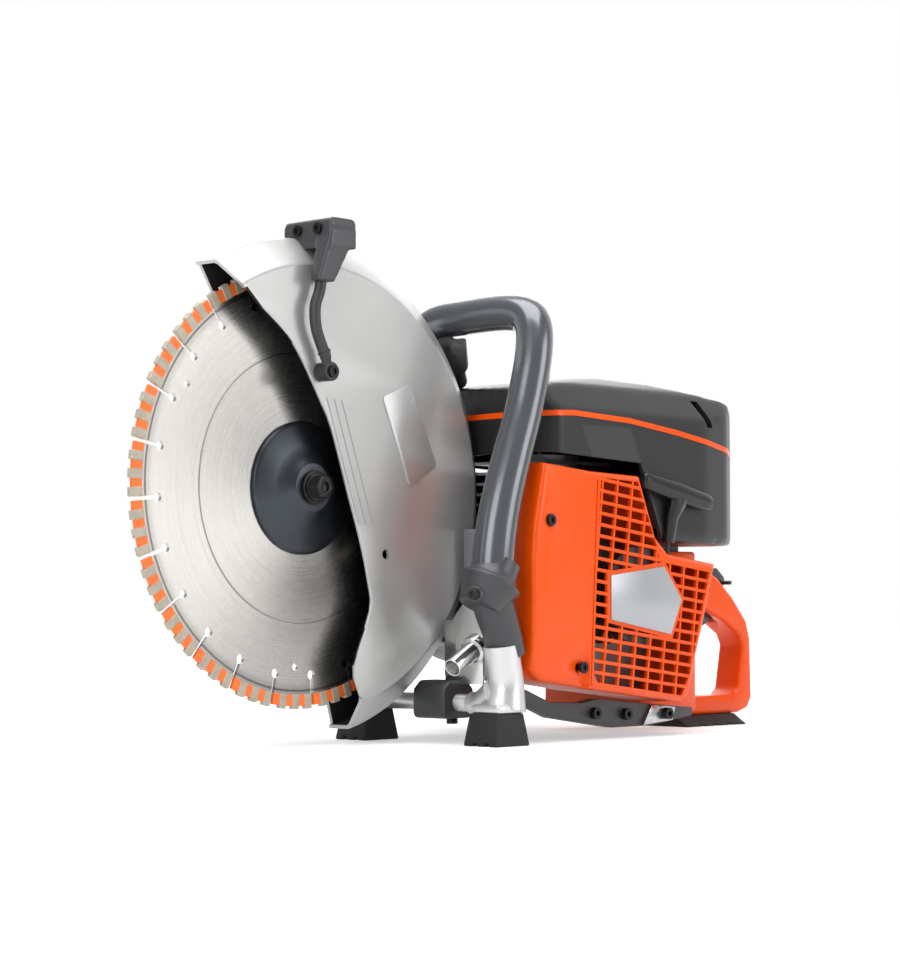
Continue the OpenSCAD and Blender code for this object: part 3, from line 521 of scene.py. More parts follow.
def cover_finish():
    g = Graph("grained_cover_plastic")
    x, y, z = g.parts(g.place((BODY_X, 0, 0)))
    fine = g.noise(g.place(), 1700.0, 2.0, 0.6)
    cloud = g.noise(g.place(), 14.0, 4.0)
    slant = x + (z - 0.255) * 0.52
    panel = slant.between(-0.065, -0.001, 0.0006) * (1.0 - z.above(0.262, 0.0006)) * (1.0 - y.above(-0.088,
                                                                                                    0.002))
    tone = g.mix(cloud, colour(30, 31, 32), colour(36, 37, 38))
    g.set("Base Color", g.mix(panel, tone, colour(50, 51, 53)))
    g.set("Specular IOR Level", 0.3)
    g.set("Roughness", (cloud - 0.5) * 0.1 + (fine - 0.5) * 0.08 + 0.38 + panel * 0.1)
    g.set("Normal", g.bump(fine, 0.28, 0.0004))
    return g.material


# Guard ----------------------------------------------------------------------------------------


GUARD_R = 198
WALL_R = GUARD_R - 23
WALL_T = 3
LEFT_Y, RIGHT_Y = -28, 15
RIM_FROM, RIM_TO = -76, 119.5
LEFT_EDGE = [(0.2, -0.82), (0.17, -0.71), (0.262, -0.49), (0.25, -0.37), (0.204, -0.207), (0.13, -0.008),
             (0.045, 0.23), (-0.02, 0.345), (-0.12, 0.5), (-0.2, 0.59), (-0.325, 0.68)]
RIGHT_EDGE = [(0.21, -0.82), (-0.02, -0.25), (-0.25, 0.05), (-0.2, 0.35), (-0.38, 0.7)]


def wall(edge, radius, y0, y1, ease):
    """One side wall: a free edge and an arc under the rim, with its free edge rounded."""
    free = curve_through([Vector((x * GUARD_R, 0, z * GUARD_R)) for x, z in edge], 3)
    start, stop = math.radians(RIM_TO - 0.6), math.radians(RIM_FROM + 0.6)
    arc = [Vector((radius * math.cos(a), 0, radius * math.sin(a)))
           for a in (start + (stop - start) * i / 72 for i in range(73))]
    bm = prism([at_hub(p.x, 0, p.z) for p in free + arc], y0, y1)
    reach = (radius - 6) * MM
    edges = [e for e in bm.edges if e.calc_face_angle(0) > math.radians(50)
             and all(math.hypot(v.co.x - HUB.x, v.co.z - HUB.z) < reach for v in e.verts)]
    bmesh.ops.bevel(bm, geom=edges, offset=ease * MM, affect="EDGES", segments=3, profile=0.5, material=-1,
                    clamp_overlap=False)
    return bm


def rim():
    """The curved rim: a rounded section turned about the spindle."""
    outer = [(WALL_R - 3, 28), (WALL_R - 1.5, 28), (WALL_R + 0.6, 27.4), (WALL_R + 2.4, 25.8),
             (GUARD_R - 2.2, 10.6), (GUARD_R - 0.5, 8.4), (GUARD_R, 6.0), (GUARD_R, -RIGHT_Y + 0.8),
             (GUARD_R - 0.8, -RIGHT_Y), (GUARD_R - 2.4, -RIGHT_Y), (GUARD_R - 3, -RIGHT_Y + 0.6)]
    inner = [(GUARD_R - 3, 5.4), (GUARD_R - 4.6, 8.4), (WALL_R + 0.4, 23.6), (WALL_R - 1, 24.7),
             (WALL_R - 3, 24.8)]
    start = math.radians(RIM_FROM)
    bm = bmesh.new()
    ring = [bm.verts.new(at_hub(r * math.cos(start), -h, r * math.sin(start))) for r, h in outer + inner]
    face = bm.faces.new(ring)
    bmesh.ops.spin(bm, geom=[face], cent=HUB, axis=(0, -1, 0), angle=math.radians(RIM_TO - RIM_FROM),
                   steps=110,
                   use_duplicate=False)
    bmesh.ops.recalc_face_normals(bm, faces=bm.faces)
    return bm


def guard():
    bm = combine(rim(), wall(LEFT_EDGE, WALL_R - 0.5, LEFT_Y, LEFT_Y + WALL_T, 1.2), "UNION")
    bm = combine(bm, wall(RIGHT_EDGE, GUARD_R - 1.5, RIGHT_Y - WALL_T, RIGHT_Y, 0.8), "UNION")
    boss = turned_ring([(33.3, 11.5), (46, 11.5), (46, 16.6), (45, 17.5), (33.3, 17.5)], 96)
    bm = combine(bm, boss, "UNION")
    plate = prism([at_hub(x, 0, z) for x, z in ((64, 75), (96, 87), (128, 21.5), (96, 3))], LEFT_Y - 1.0,
                  LEFT_Y + 1)
    corners = [e for e in plate.edges if abs(e.verts[0].co.y - e.verts[1].co.y) > 1 * MM]
    bmesh.ops.bevel(plate, geom=corners, offset=4 * MM, affect="EDGES", segments=4, profile=0.5, material=-1)
    soften(plate, 0.4 * MM, 2, 50)
    bm = combine(bm, plate, "UNION")
    for i in range(3):
        rib = prism([at_hub(8 * i + x, 0, z) for x, z in ((2.4, 70), (3.6, 70), (38.6, -28), (37.4, -28))],
                    LEFT_Y - 0.7, LEFT_Y + 1)
        bm = combine(bm, rib, "UNION")
    hole = bmesh.new()
    bmesh.ops.create_cone(hole, cap_ends=True, segments=32, radius1=4 * MM, radius2=4 * MM, depth=12 * MM,
                          matrix=Matrix.Translation(at_hub(69, LEFT_Y, -52)) @ Matrix.Rotation(math.pi / 2,
                                                                                               4, "X"))
    bm = combine(bm, hole)
    bore = bmesh.new()
    bmesh.ops.create_cone(bore, cap_ends=True, segments=96, radius1=32.1 * MM, radius2=32.1 * MM,
                          depth=12 * MM,
                          matrix=Matrix.Translation(at_hub(0, RIGHT_Y, 0)) @ Matrix.Rotation(math.pi / 2, 4,
                                                                                             "X"))
    bm = combine(bm, bore)
    bm.normal_update()

    # faces inside the guard, which take the painted shade colour
    def shaded_inside(face):
        mid = face.calc_center_median()
        out = Vector((mid.x - HUB.x, 0, mid.z - HUB.z)).normalized()
        y = mid.y / MM
        if not LEFT_Y + 0.6 < y < RIGHT_Y - 0.6:
            return False
        return (face.normal.dot(out) < -0.3 and out.length * (mid - HUB).length > 0.12
                or face.normal.y > 0.7 and y < -20 or face.normal.y < -0.7 and y > 8)
    paint(bm, 1, shaded_inside)
    piece(bm, "guard_shell", [guard_paint, painted_guard_shade], "guard", ["blade_guard"], 30)


def turned_ring(section, steps, centre=None):
    """A ring turned about the spindle. The section is (radius, y) pairs in order."""
    bm = bmesh.new()
    face = bm.faces.new([bm.verts.new((centre or HUB) + Vector((r * MM, y * MM, 0))) for r, y in section])
    bmesh.ops.spin(bm, geom=face.edges[:] + face.verts[:], cent=centre or HUB, axis=(0, 1, 0),
                   angle=2 * math.pi,
                   steps=steps, use_merge=True, use_duplicate=False)
    bmesh.ops.delete(bm, geom=[f for f in bm.faces if len(f.verts) == len(section) and abs(f.normal.y) < 0.01
                               and abs(f.normal.x) < 0.01 and len(section) != 4], context="FACES_ONLY")
    bmesh.ops.remove_doubles(bm, verts=bm.verts, dist=1e-6)
    bmesh.ops.recalc_face_normals(bm, faces=bm.faces)
    return bm


# Front handle ---------------------------------------------------------------------------------

TUBE_R = 15.5
LEG_Y = -100
BAR_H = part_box("front_handle")[1][2] / MM - TUBE_R


def handle():
    route = [(-174, LEG_Y, 122), (-170.5, LEG_Y, 160), (-162, LEG_Y, 196), (-147.5, LEG_Y, 237),
             (-135, LEG_Y, 270), (-121, LEG_Y + 1, BAR_H - 36), (-114, LEG_Y + 10, BAR_H - 9),
             (-113, LEG_Y + 34, BAR_H), (-114, -20, BAR_H), (-115, 18, BAR_H - 4), (-119, 36, BAR_H - 26),
             (-126, 40, BAR_H - 60), (-136, 37, BAR_H - 88), (-142, 35, BAR_H - 100), (-142, 35, BAR_H - 116)]
    path = curve_through([at_body(*p) for p in route], 5)
    swell_top, swell_run, extra = 0.27, 0.12, 1.8  # only the leg on the starter side swells
    swell = [max(0.0, min(1.0, (swell_top - p.z) / swell_run)) if p.y < -0.06 else 0.0 for p in path]
    bm = tube(path, [(TUBE_R + extra * w) * MM for w in swell], 36)
    piece(bm, "front_handle_tube", handle_paint, "root", ["front_handle"])


def sleeve():
    """Rubber sleeve over the leg's kink, with a tilted flange and the ear that clamps it."""
    route = [(-154.5, LEG_Y, 71), (-157.5, LEG_Y, 80), (-163.5, LEG_Y, 94), (-170, LEG_Y, 108),
             (-174, LEG_Y, 120)]
    radii = [14.8, 15.2, 15.7, 16.4, 17.0]
    body = tube(curve_through([at_body(*p) for p in route], 3), [r * MM for r in steady(radii, 3)], 40)
    soften(body, 0.8 * MM, 2, 30)
    lean = Vector((0.457, -0.09, 0.878)).normalized()
    centre = at_body(-176.2, LEG_Y, 129)
    steps = [(-21, 17.4), (-17, 18.4), (-11, 20.2), (-5, 22.9), (-1.2, 25.0), (0, 25.6), (1.2, 25.2),
             (2.4, 23.6),
             (5, 21.2), (9, 19.3), (14, 18.2), (21, 17.7)]
    skirt = tube([centre + lean * d * MM for d, _ in steps], [r * MM for _, r in steps], 56)
    towards = Vector((-0.90, -0.43, 0.0)).normalized()
    seat = at_body(-193, LEG_Y - 3, 121)
    ear = tube([seat + towards * d * MM for d in (-12, 6, 9, 10)], [7.4 * MM, 7.0 * MM, 6.6 * MM, 5.8 * MM],
               24)
    piece(join(body, skirt, ear), "leg_sleeve", grip_plastic, "root", ["handle_sleeve"], 50)
    socket_screw(seat + towards * 10.5 * MM, towards, 4.6, 3.0, "sleeve_screw")


def socket_screw(place, direction, radius, height, name, body="root", surface=None):
    """A socket-head screw standing on a surface."""
    bm = bmesh.new()
    bmesh.ops.create_cone(bm, cap_ends=True, segments=32, radius1=radius * MM, radius2=radius * MM,
                          depth=height * MM)
    soften(bm, min(0.5, height * 0.2) * MM, 2, 40)
    hexagon = bmesh.new()
    bmesh.ops.create_cone(hexagon, cap_ends=True, segments=6, radius1=radius * 0.52 * MM,
                          radius2=radius * 0.52 * MM, depth=height * MM)
    bmesh.ops.translate(hexagon, verts=hexagon.verts, vec=(0, 0, height * 0.55 * MM))
    bm = combine(bm, hexagon)
    turn = Vector(direction).to_track_quat("Z", "X").to_matrix().to_4x4()
    bmesh.ops.transform(bm, verts=bm.verts, matrix=Matrix.Translation(place) @ turn
                        @ Matrix.Translation((0, 0, height / 2 * MM)))
    return piece(bm, name, surface or black_screw, body)


def fin_backing_plate():
    """Dark charcoal plate behind the cylinder fins, with a hole for the decompression valve: it stands in for
    the shade inside the machine seen between the fins.
    """
    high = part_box("cylinder")[1][1] / MM
    plate = prism([at_body(x, 0, z) for x, z in ((-50, 168), (47, 168), (47, 228), (-50, 228))], high + 0.3,
                  high + 2)
    valve = middle("decompression_valve")
    hole = bmesh.new()
    bmesh.ops.create_cone(hole, cap_ends=True, segments=32, radius1=8 * MM, radius2=8 * MM, depth=12 * MM,
                          matrix=Matrix.Translation((valve.x, high * MM,
                                                     valve.z)) @ Matrix.Rotation(math.pi / 2, 4, "X"))
    plate = combine(plate, hole)
    piece(plate, "shade_plate_behind_fins", charcoal, "root")


def support():
    route = [(-162.5, LEG_Y, 80), (-160.5, LEG_Y, 68), (-157.5, LEG_Y, 54), (-157, LEG_Y, 44),
             (-158, LEG_Y, 36), (-159, LEG_Y, 28.5)]
    leg = tube(curve_through([at_body(*p) for p in route], 4),
               [r * MM for r in steady([14.6, 14.6, 14.6, 15.2, 16.6, 17.8], 4)], 32)
    shoe = bmesh.new()
    bmesh.ops.create_cube(shoe, size=1.0)
    bmesh.ops.scale(shoe, verts=shoe.verts, vec=(33 * MM, 30 * MM, 7 * MM))
    bmesh.ops.translate(shoe, verts=shoe.verts, vec=at_body(-166, LEG_Y, 29.5))
    soften(shoe, 2.2 * MM, 3)
    reach = [(-163, LEG_Y + 4, 42), (-162, LEG_Y + 14, 37), (-161.5, LEG_Y + 24, 33.5), (-161, LEG_Y + 33,
                                                                                         33)]
    toe = tube(curve_through([at_body(*p) for p in reach], 4),
               [r * MM for r in steady([13, 11.5, 9.5, 9.2], 4)], 28)
    soften(toe, 0.8 * MM, 2, 40)
    piece(join(leg, shoe, toe), "leg_casting", cast_alloy, "root", ["front_support"])


# Covers ---------------------------------------------------------------------------------------

TOP_SIDE = [(-86, 237), (10, 233), (14, 223), (35, 176), (128, 166), (182, 166), (190, 200), (190, 262),
            (177, 287), (150, 294), (67, 305), (4, 307), (-42, 303), (-107, 294), (-134, 289), (-134, 240)]
TOP_PLAN = [(-96, -105), (100, -105), (140, -98), (172, -78), (190, -45), (190, 40), (176, 60), (150, 68),
            (-84, 68), (-113, -64), (-113, -82)]
TOP_END = [(-106, 150), (69, 150), (69, 272), (50, 296), (20, 308), (-60, 308), (-84, 298), (-106, 270)]
STRIPE_LOW = [(-140, 265.5), (-120, 267), (-77, 269), (-5, 266), (58, 259), (128, 249), (196, 239.5)]


def cut_plane(bm, point, normal):
    """Removes what lies beyond a plane and closes the cut."""
    cut = bmesh.ops.bisect_plane(bm, geom=bm.verts[:] + bm.edges[:] + bm.faces[:], plane_co=point,
                                 plane_no=normal, clear_outer=True)
    edges = [e for e in cut["geom_cut"] if isinstance(e, bmesh.types.BMEdge)]
    if edges:
        bmesh.ops.contextual_create(bm, geom=edges)


def cover_form():
    """The closed outer form of the top cover, with rounded edges."""
    bm = bmesh.new()
    bmesh.ops.create_cube(bm, size=1.0)
    bmesh.ops.translate(bm, verts=bm.verts, vec=at_body(30, 0, 230))
    planes = []
    for outline, place in ((TOP_SIDE, lambda a, b: at_body(a, 0, b)),
                           (TOP_PLAN, lambda a, b: at_body(a, b, 0)),
                           (TOP_END, lambda a, b: at_body(0, a, b))):
        centre = sum((place(*p) for p in outline), Vector()) / len(outline)
        for i, start in enumerate(outline):
            a, b = place(*start), place(*outline[(i + 1) % len(outline)])
            if outline is TOP_SIDE and (i < 4 or i == len(outline) - 1):
                continue
            flat = {0: 1, 1: 2, 2: 0}[(TOP_SIDE, TOP_PLAN, TOP_END).index(outline)]
            third = Vector([1.0 if k == flat else 0.0 for k in range(3)])
            normal = (b - a).normalized().cross(third)
            if normal.dot(a - centre) < 0:
                normal = -normal
            planes.append((a, normal))
    for a, normal in planes:
        cut_plane(bm, a, normal)
    cut_plane(bm, at_body(0, 0, 160), (0, 0, -1))
    bmesh.ops.recalc_face_normals(bm, faces=bm.faces)
    bmesh.ops.dissolve_limit(bm, angle_limit=math.radians(0.5), verts=bm.verts, edges=bm.edges)
    return inflate(melt(bm, 3.2, 14), 0.8)


def top_cover():
    under = prism([at_body(*p) for p in ((-200, 0, 100), (60, 0, 100), (35, 0, 176), (14, 0, 223),
                                         (10, 0, 233),
                                         (-86, 0, 237), (-134, 0, 240), (-200, 0, 242))], -200, 200)
    form = combine(cover_form(), under)
    inner = inflate(cover_form(), -3.2)
    reach = prism([at_body(*p) for p in ((42, 0, 100), (186, 0, 100), (186, 0, 226), (-128, 0, 290),
                                         (-128, 0, 200), (32, 0, 200))], -102, 66)
    form = combine(form, combine(inner, reach, "INTERSECT"))
    slot_cut = prism([at_body(*p) for p in ((98, 0, 292), (108, 0, 292), (113, 0, 268), (104, 0, 268))],
                     -125, -80)
    form = combine(form, slot_cut)
    piece(form, "top_cover_shell", cover_finish(), "root", ["top_cover"], 30)
    band = prism([at_body(x, 0, z) for x, z in STRIPE_LOW] + [at_body(x, 0, z + 4.6) for x,
                                                              z in STRIPE_LOW[::-1]],
                 -200, 200)
    ring = combine(combine(inflate(cover_form(), 0.4), band, "INTERSECT"), inflate(cover_form(), -1.2))
    piece(ring, "cover_stripe_band", orange_plastic, "root", ["cover_stripe"], 30)


def inflate(bm, distance):
    """Grows a closed form by a distance on every side, or shrinks it where that is negative."""
    low = Vector([min(v.co[i] for v in bm.verts) for i in range(3)])
    high = Vector([max(v.co[i] for v in bm.verts) for i in range(3)])
    middle_point = (low + high) / 2
    factors = [1 + 2 * distance * MM / (high[i] - low[i]) for i in range(3)]
    bmesh.ops.scale(bm, verts=bm.verts, vec=factors, space=Matrix.Translation(-middle_point))
    return bm


def melt(bm, cell, rounds, strength=0.5):
    """Rebuilds a closed form on an even grid and rounds all its edges."""
    obj = as_object(bm)
    grid = obj.modifiers.new("grid", "REMESH")
    grid.mode = "VOXEL"
    grid.voxel_size = cell * MM
    ease = obj.modifiers.new("ease", "SMOOTH")
    ease.factor = strength
    ease.iterations = rounds
    bpy.context.view_layer.update()
    mesh = bpy.data.meshes.new_from_object(obj.evaluated_get(bpy.context.evaluated_depsgraph_get()))
    made = bmesh.new()
    made.from_mesh(mesh)
    data = obj.data
    bpy.data.objects.remove(obj)
    bpy.data.meshes.remove(data)
    bpy.data.meshes.remove(mesh)
    return made


GRILLE_TOP = [(-61, 110), (30, 110), (19, 161), (-7, 216), (-56, 218), (-61, 150)]
GRILLE_LOW = [(-66, 55), (-60, 47), (51, 33), (63, 52), (92, 142), (30, 150), (-61, 150)]
NAME_PLATE = [(-44, 137), (-44, 100), (36, 87), (51, 117), (27, 145)]


def grille_cutters(face_y):
    """Slots of the whole grille, clipped by its outline and kept off the name plate."""
    boxes = []
    turn = Matrix.Rotation(math.radians(7), 4, "Y")
    for row in range(-10, 13):
        for column in range(-4, 6):
            box = bmesh.new()
            bmesh.ops.create_cube(box, size=1.0)
            bmesh.ops.scale(box, verts=box.verts, vec=(17.6 * MM, 12 * MM, 6.7 * MM))
            place = turn @ Vector(((19.5 * column + 4) * MM, 0, 9.4 * row * MM))
            bmesh.ops.transform(box, verts=box.verts,
                                matrix=Matrix.Translation(at_body(0, face_y, 120) + place) @ turn)
            boxes.append(box)
    slots = join(*boxes)
    area = combine(prism([at_body(x, 0, z) for x, z in GRILLE_TOP], face_y - 9, face_y + 9),
                   prism([at_body(x, 0, z) for x, z in GRILLE_LOW], face_y - 8, face_y + 8), "UNION")
    plate = prism([at_body(x, 0, z) for x, z in NAME_PLATE], face_y - 12, face_y + 12)
    plate = inflate(plate, 4.0)
    return combine(combine(slots, area, "INTERSECT"), plate)


def side_cover():
    bm = from_cad("starter_cover")
    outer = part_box("starter_cover")[0][1]
    face_y = outer / MM
    front = [e for e in bm.edges if e.is_manifold and deep(e, 20) and e.calc_face_angle(0) > math.radians(28)
             and all(abs(v.co.y - outer) < 0.2 * MM for v in e.verts)]
    bmesh.ops.bevel(bm, geom=front, offset=4.5 * MM, affect="EDGES", segments=4, profile=0.5, material=-1,
                    clamp_overlap=False)
    ends = at_body(-147, 0, 75.5), at_body(-62, 0, 93)
    along = (ends[1] - ends[0]).normalized()
    upward = Vector((-along.z, 0, along.x))
    facet_end, skin, facet_lean = at_body(-72, 0, 0).x, 14 * MM, 0.13
    for co, no in ((ends[0], upward), (at_body(-73, 0, 0), Vector((1, 0, 0))), (at_body(-71, 0, 0),
                                                                                Vector((1, 0, 0)))):
        bmesh.ops.bisect_plane(bm, geom=bm.verts[:] + bm.edges[:] + bm.faces[:], plane_co=co, plane_no=no)
    for v in bm.verts:
        depth = (ends[0] - v.co).dot(upward)
        if depth > 0 and v.co.x < facet_end and v.co.y < outer + skin:
            v.co.y += facet_lean * depth
    crease = prism([at_body(x, 0, z) for x, z in ((-70.6, 44), (-68.8, 44), (-59.6, 216), (-61.4, 216))],
                   face_y - 1,
                   face_y + 0.9)
    bm = combine(bm, crease)
    bm = combine(bm, grille_cutters(face_y))
    piece(bm, "starter_side_cover", orange_plastic, "root", ["starter_cover"], 30)


# Handles and small parts ----------------------------------------------------------------------


def rear_loop():
    rounded_copy("rear_handle", "rear_handle_loop", orange_plastic, 4.0, "root", 4, 40)
    rounded_copy("rear_foot", "rear_foot_pad", rubber, 1.5, "root", 2, 30)


def pull_grip():
    """T-shaped pull handle with a swelling bar."""
    low, high = (Vector(c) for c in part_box("starter_handle"))
    mid = (low + high) / 2
    bar_z = high.z - 9 * MM
    half = (high.x - low.x) / 2
    steps = [-1.0, -0.97, -0.8, -0.4, 0.0, 0.4, 0.8, 0.97, 1.0]
    path = [Vector((mid.x + s * half, mid.y, bar_z - 9 * MM * s)) for s in steps]
    radii = [4.5, 6.9, 7.8, 8.2, 9.0, 8.2, 7.8, 6.9, 4.5]
    bar = tube(path, [r * MM for r in radii], 24, oval=[(1, 0.7)] * len(steps))
    rope = middle("starter_rope")
    stem = tube([Vector((mid.x + 3 * MM, mid.y, bar_z + 1 * MM)), Vector((mid.x + 1 * MM, mid.y,
                                                                          bar_z - 10 * MM)),
                 Vector((rope.x + 2 * MM, (mid.y + rope.y) / 2, bar_z - 22 * MM)),
                 Vector((rope.x, rope.y, low.z))],
                [13 * MM, 9.4 * MM, 6.4 * MM, 5.4 * MM], 28, oval=[(1, 0.42), (1, 0.6), (1, 0.85), (1, 1)])
    soften(stem, 0.6 * MM, 2, 40)
    soften(bar, 0.6 * MM, 2, 40)
    piece(join(bar, stem), "pull_grip", dark_grip, "starter_grip", ["starter_handle"])


def pull_rope():
    """Starter rope, drawn out between the cover's eyelet and the pull handle."""
    low, high = (Vector(c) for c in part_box("starter_rope"))
    foot = Vector(((low.x + high.x) / 2, (low.y + high.y) / 2, low.z))
    steps = 60
    path = [foot + Vector((0, 0, (high.z - low.z) * i / steps)) for i in range(steps + 1)]
    bm = tube(path, [(high.x - low.x) / 2] * len(path), 16)
    smooth_by_angle(bm, 40)
    mesh = bpy.data.meshes.new("pull_rope")
    bm.to_mesh(mesh)
    bm.free()
    mesh.materials.append(rope_fibre)
    obj = bpy.data.objects.new("pull_rope", mesh)
    bpy.context.scene.collection.objects.link(obj)
    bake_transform(obj)
    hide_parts("starter_rope")


def push_block():
    bm = melt(from_cad("guard_grip", 3), 1.3, 9)
    piece(bm, "guard_push_block", grip_plastic, "guard", ["guard_grip"], 40)


def guard_hose():
    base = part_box("water_hose")
    y = (base[0][1] + base[1][1]) / 2 / MM
    r = 198
    route = [(-14, r - 30), (-14, r - 38), (-15.5, r - 46), (-20, r - 58), (-19, r - 74), (-13, r - 88),
             (-9.6, r - 94), (-8.2, r - 98)]
    path = curve_through([at_hub(x, y, z) for x, z in route], 5)
    bm = tube(path, [4.5 * MM] * len(path), 24)
    for at in (3, len(path) - 8):
        collar = tube([path[at], path[at + 1], path[at + 2]], [5.3 * MM] * 3, 24)
        soften(collar, 0.5 * MM, 2, 40)
        bm = join(bm, collar)
    piece(bm, "guard_hose", hose_rubber, "guard", ["water_hose"])
    bm = from_cad("water_nozzle")
    soften(bm, 0.6 * MM, 2, 30)
    piece(bm, "banjo_nozzle", hose_rubber, "guard", ["water_nozzle"])


def feet():
    bm = from_cad("front_feet", 2)
    soften(bm, 1.4 * MM, 3, 30)
    piece(bm, "front_feet_pads", rubber, "root", ["front_feet"])


def bellows():
    """Ribbed rubber boot beside the cross member, and the block under it."""
    steps = 22
    path = [at_body(-146 + 0 * i, -50 + i * 42 / steps, 46) for i in range(steps + 1)]
    radii = [(7.4 if i % 2 else 9.4) * MM for i in range(steps + 1)]
    boot = tube(path, radii, 28)
    piece(boot, "rubber_bellows", rubber, "root")
    block = prism([at_body(x, 0, z) for x, z in ((-176, 20), (-146, 20), (-142, 24), (-142, 44), (-150, 51),
                                                 (-170, 51), (-178, 44), (-178, 24))], -52, -16)
    soften(block, 2.5 * MM, 3, 30)
    piece(block, "clamp_block", charcoal, "root")
    bolt = bmesh.new()
    bmesh.ops.create_cone(bolt, cap_ends=True, segments=6, radius1=5 * MM, radius2=5 * MM, depth=6 * MM)
    soften(bolt, 0.5 * MM, 1)
    bmesh.ops.translate(bolt, verts=bolt.verts, vec=at_body(-160, -44, 18.5))
    piece(bolt, "clamp_bolt", black_screw, "root")


def softened_nodes():
    """Nodes that keep their shape, with broken edges."""
    for node, surface, width, body in (
            ("outer_flange", flange_steel, 0.5, "blade"), ("bolt_washer", black_screw, 0.4, "blade"),
            ("blade_bolt", black_screw, 0.5, "blade"), ("side_bracket", charcoal, 1.2, "root"),
            ("bracket_plate", zinc, 0.5, "root"), ("starter_plate", label_metal, 0.4, "root"),
            ("belt_guard", charcoal, 1.5, "root"), ("clutch_cover", charcoal, 1.5, "root"),
            ("cutting_arm", case_alloy, 1.2, "root"), ("fuel_tank", orange_plastic, 2.5, "root"),
            ("handle_bracket", charcoal, 1.2, "root"), ("muffler", case_alloy, 1.5, "root"),
            ("heat_shield", bright_steel, 0.6, "root"), ("exhaust_stub", bright_steel, 0.5, "root"),
            ("crankcase", case_alloy, 1.0, "root"), ("cross_member", cast_alloy, 0.8, "root"),
            ("throttle_trigger", grip_plastic, 1.2, "trigger"), ("throttle_lockout", grip_plastic, 1.2,
                                                                 "lockout"),
            ("stop_switch", charcoal, 0.8, "stop_switch"), ("choke_knob", charcoal, 0.8, "choke"),
            ("fuel_cap", charcoal, 1.0, "fuel_cap")):
        rounded_copy(node, node + "_eased", surface, width, body, 2, 30)


# Whole object ---------------------------------------------------------------------------------

blade_steel = blade_finish()
sintered = sinter_finish()
orange_inlay = inlay_finish()
dress(blade_steel, "blade_core")
dress(flange_steel, "inner_flange", "outer_flange")
dress(black_screw, "bolt_washer", "blade_bolt", "guard_screws", "cover_screws", "frame_screws")
dress(zinc, "spindle_shaft", "driven_pulley", "spindle_bearings", "clutch_drum", "crankshaft",
      "bracket_plate")
dress(case_alloy, "cutting_arm", "crankcase", "cylinder", "piston", "flywheel")
dress(rubber, "drive_belt", "av_mounts", "rear_foot", "front_feet")
dress(charcoal, "belt_guard", "clutch_cover", "top_cover", "filter_base", "carburettor", "starter_pulley",
      "side_bracket", "fuel_cap", "choke_knob", "stop_switch", "clutch_shoes", "handle_bracket")
dress(foam, "air_filter")
dress(orange_plastic, "starter_cover", "rear_handle", "cover_stripe", "fuel_tank")
dress(grip_plastic, "guard_grip", "starter_handle", "throttle_trigger", "throttle_lockout", "handle_sleeve")
dress(handle_paint, "front_handle")
dress(cast_alloy, "front_support", "cross_member")
dress(bright_steel, "heat_shield", "exhaust_stub", "decompression_valve", "muffler")
dress(label_metal, "starter_plate")
dress(guard_paint, "blade_guard")
dress(hose_rubber, "water_hose", "water_nozzle")
dress(blue_cap, "decompression_button")
dress(zinc, "spark_plug")
dress(cast_alloy, "blade_segments")

cutting_rim()
guard()
handle()
sleeve()
support()
top_cover()
side_cover()
rear_loop()
pull_grip()
pull_rope()
push_block()
guard_hose()
feet()
bellows()
softened_nodes()
fin_backing_plate()

# Floor, light and camera ----------------------------------------------------------------------


def floor():
    bm = bmesh.new()
    bmesh.ops.create_grid(bm, x_segments=1, y_segments=1, size=6.0)
    bmesh.ops.translate(bm, verts=bm.verts, vec=(0, 0, FLOOR_Z))
    mesh = bpy.data.meshes.new("floor")
    bm.to_mesh(mesh)
    bm.free()
    obj = bpy.data.objects.new("floor", mesh)
    bpy.context.scene.collection.objects.link(obj)
    g = Graph("pale_floor")
    g.tree.nodes.remove(g.shader)
    out = g.tree.nodes["Material Output"]
    path = g.tree.nodes.new("ShaderNodeLightPath")
    seen = (Wire(g, path.outputs["Is Camera Ray"]) + Wire(g, path.outputs["Is Glossy Ray"])
            + Wire(g, path.outputs["Is Transmission Ray"])).calc("MINIMUM", 1.0)
    diffuse = g.node("ShaderNodeBsdfDiffuse", None, (0.62, 0.62, 0.62, 1))
    x, y, _ = g.parts(g.place((0, 0, 0)))
    far = ((x * x + y * y).calc("SQRT") - 0.55) * 1.6
    far = far.calc("MAXIMUM", 0.0).calc("MINIMUM", 1.0)
    glow = g.node("ShaderNodeEmission", None, (1, 1, 1, 1), far * 0.55 + 0.45)
    both = g.node("ShaderNodeAddShader", None, diffuse, glow)
    plain = g.node("ShaderNodeBsdfDiffuse", None, (0.8, 0.8, 0.8, 1))
    g.tree.links.new(g.node("ShaderNodeMixShader", None, seen, plain, both).socket, out.inputs[0])
    mesh.materials.append(g.material)


FILL_LIGHT = 0.42  # strength of the sky as a lamp
BACKDROP = 1.0  # strength of the sky as the camera sees it
BACK_SHINE = 0.9  # extra strength in reflections, behind the saw


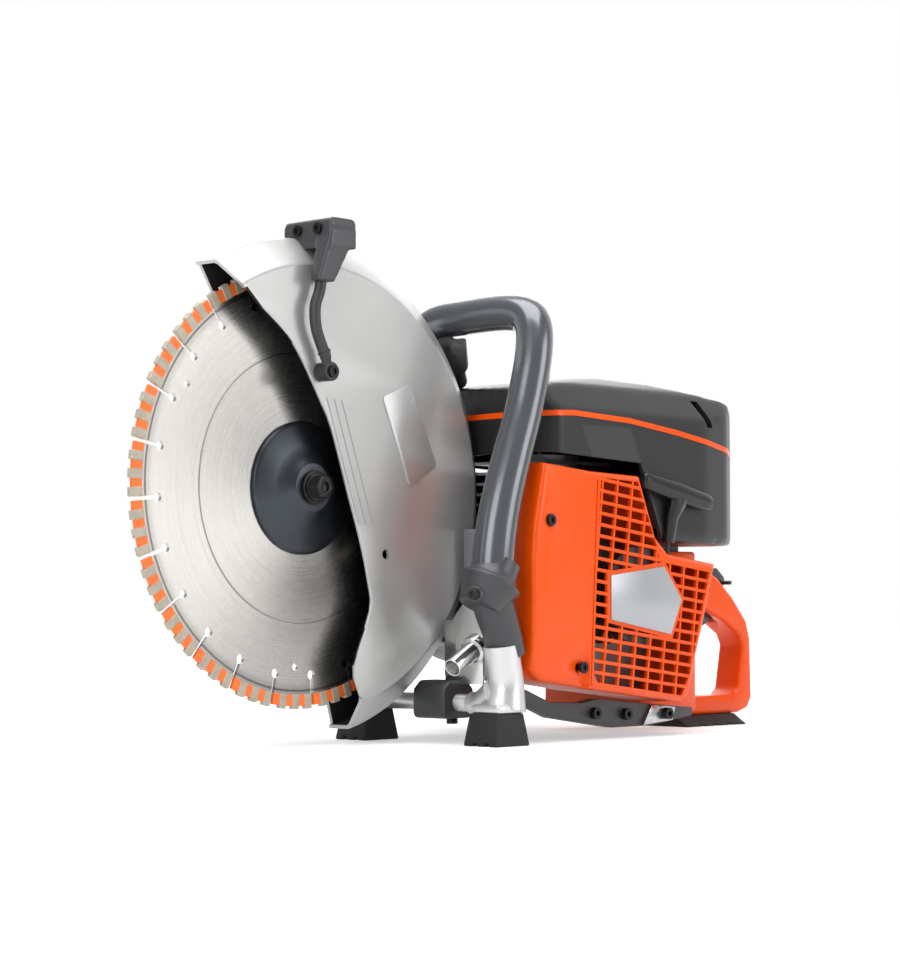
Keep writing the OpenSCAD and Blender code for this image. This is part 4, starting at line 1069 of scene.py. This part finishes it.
def sky():
    world = bpy.data.worlds.new("studio")
    bpy.context.scene.world = world
    world.use_nodes = True
    tree = world.node_tree
    back = tree.nodes["Background"]
    path = tree.nodes.new("ShaderNodeLightPath")
    most = tree.nodes.new("ShaderNodeMath")
    most.operation = "MAXIMUM"
    tree.links.new(path.outputs["Is Camera Ray"], most.inputs[0])
    tree.links.new(path.outputs["Is Transmission Ray"], most.inputs[1])
    strength = tree.nodes.new("ShaderNodeMapRange")
    tree.links.new(most.outputs[0], strength.inputs[0])
    strength.inputs[3].default_value = FILL_LIGHT
    strength.inputs[4].default_value = BACKDROP
    tree.links.new(strength.outputs[0], back.inputs[1])
    back.inputs[0].default_value = (1, 1, 1, 1)
    look = tree.nodes.new("ShaderNodeTexCoord")
    away = tree.nodes.new("ShaderNodeVectorMath")
    away.operation = "DOT_PRODUCT"
    away.inputs[1].default_value = (0.7301, 0.6833, 0.0)
    tree.links.new(look.outputs["Generated"], away.inputs[0])
    behind = tree.nodes.new("ShaderNodeMapRange")
    behind.inputs[1].default_value = 0.1
    behind.inputs[2].default_value = 0.7
    behind.inputs[3].default_value = 0.0
    behind.inputs[4].default_value = BACK_SHINE
    tree.links.new(away.outputs["Value"], behind.inputs[0])
    shine = tree.nodes.new("ShaderNodeMath")
    shine.operation = "MULTIPLY_ADD"
    tree.links.new(path.outputs["Is Glossy Ray"], shine.inputs[0])
    tree.links.new(behind.outputs[0], shine.inputs[1])
    tree.links.new(strength.outputs[0], shine.inputs[2])
    tree.links.new(shine.outputs[0], back.inputs[1])


def softbox(name, place, target, size, power):
    lamp = bpy.data.lights.new(name, "AREA")
    lamp.shape = "RECTANGLE"
    lamp.size, lamp.size_y = size
    lamp.energy = power
    obj = bpy.data.objects.new(name, lamp)
    obj.location = place
    obj.rotation_euler = (Vector(target) - Vector(place)).to_track_quat("-Z", "Y").to_euler()
    bpy.context.scene.collection.objects.link(obj)


def camera():
    right = Vector((0.6833, -0.7301, 0.0)).normalized()
    back = Vector((-0.7294, -0.6826, -0.0454)).normalized()
    up = back.cross(right)
    lens = bpy.data.cameras.new("camera")
    lens.lens = 92.92
    lens.clip_end = 30
    obj = bpy.data.objects.new("camera", lens)
    obj.matrix_world = Matrix.Translation(HUB + Vector((-1.3750, -1.4501, -0.0902))) @ Matrix(
        (right, up, back)).transposed().to_4x4()
    bpy.context.scene.collection.objects.link(obj)
    bpy.context.scene.camera = obj


floor()
sky()
softbox("overhead", (-0.3, -0.2, 1.9), (0, 0, 0.2), (2.0, 1.4), 44)
softbox("front_left", (-2.2, -0.6, 1.0), (-0.1, 0, 0.2), (1.2, 1.4), 20)
softbox("right_side", (1.0, -2.2, 0.9), (0.1, 0, 0.2), (1.2, 1.2), 18)
softbox("rim", (1.1, 1.3, 1.5), (0, 0, 0.25), (1.6, 1.2), 16)
camera()
bpy.context.scene.view_settings.view_transform = "Standard"
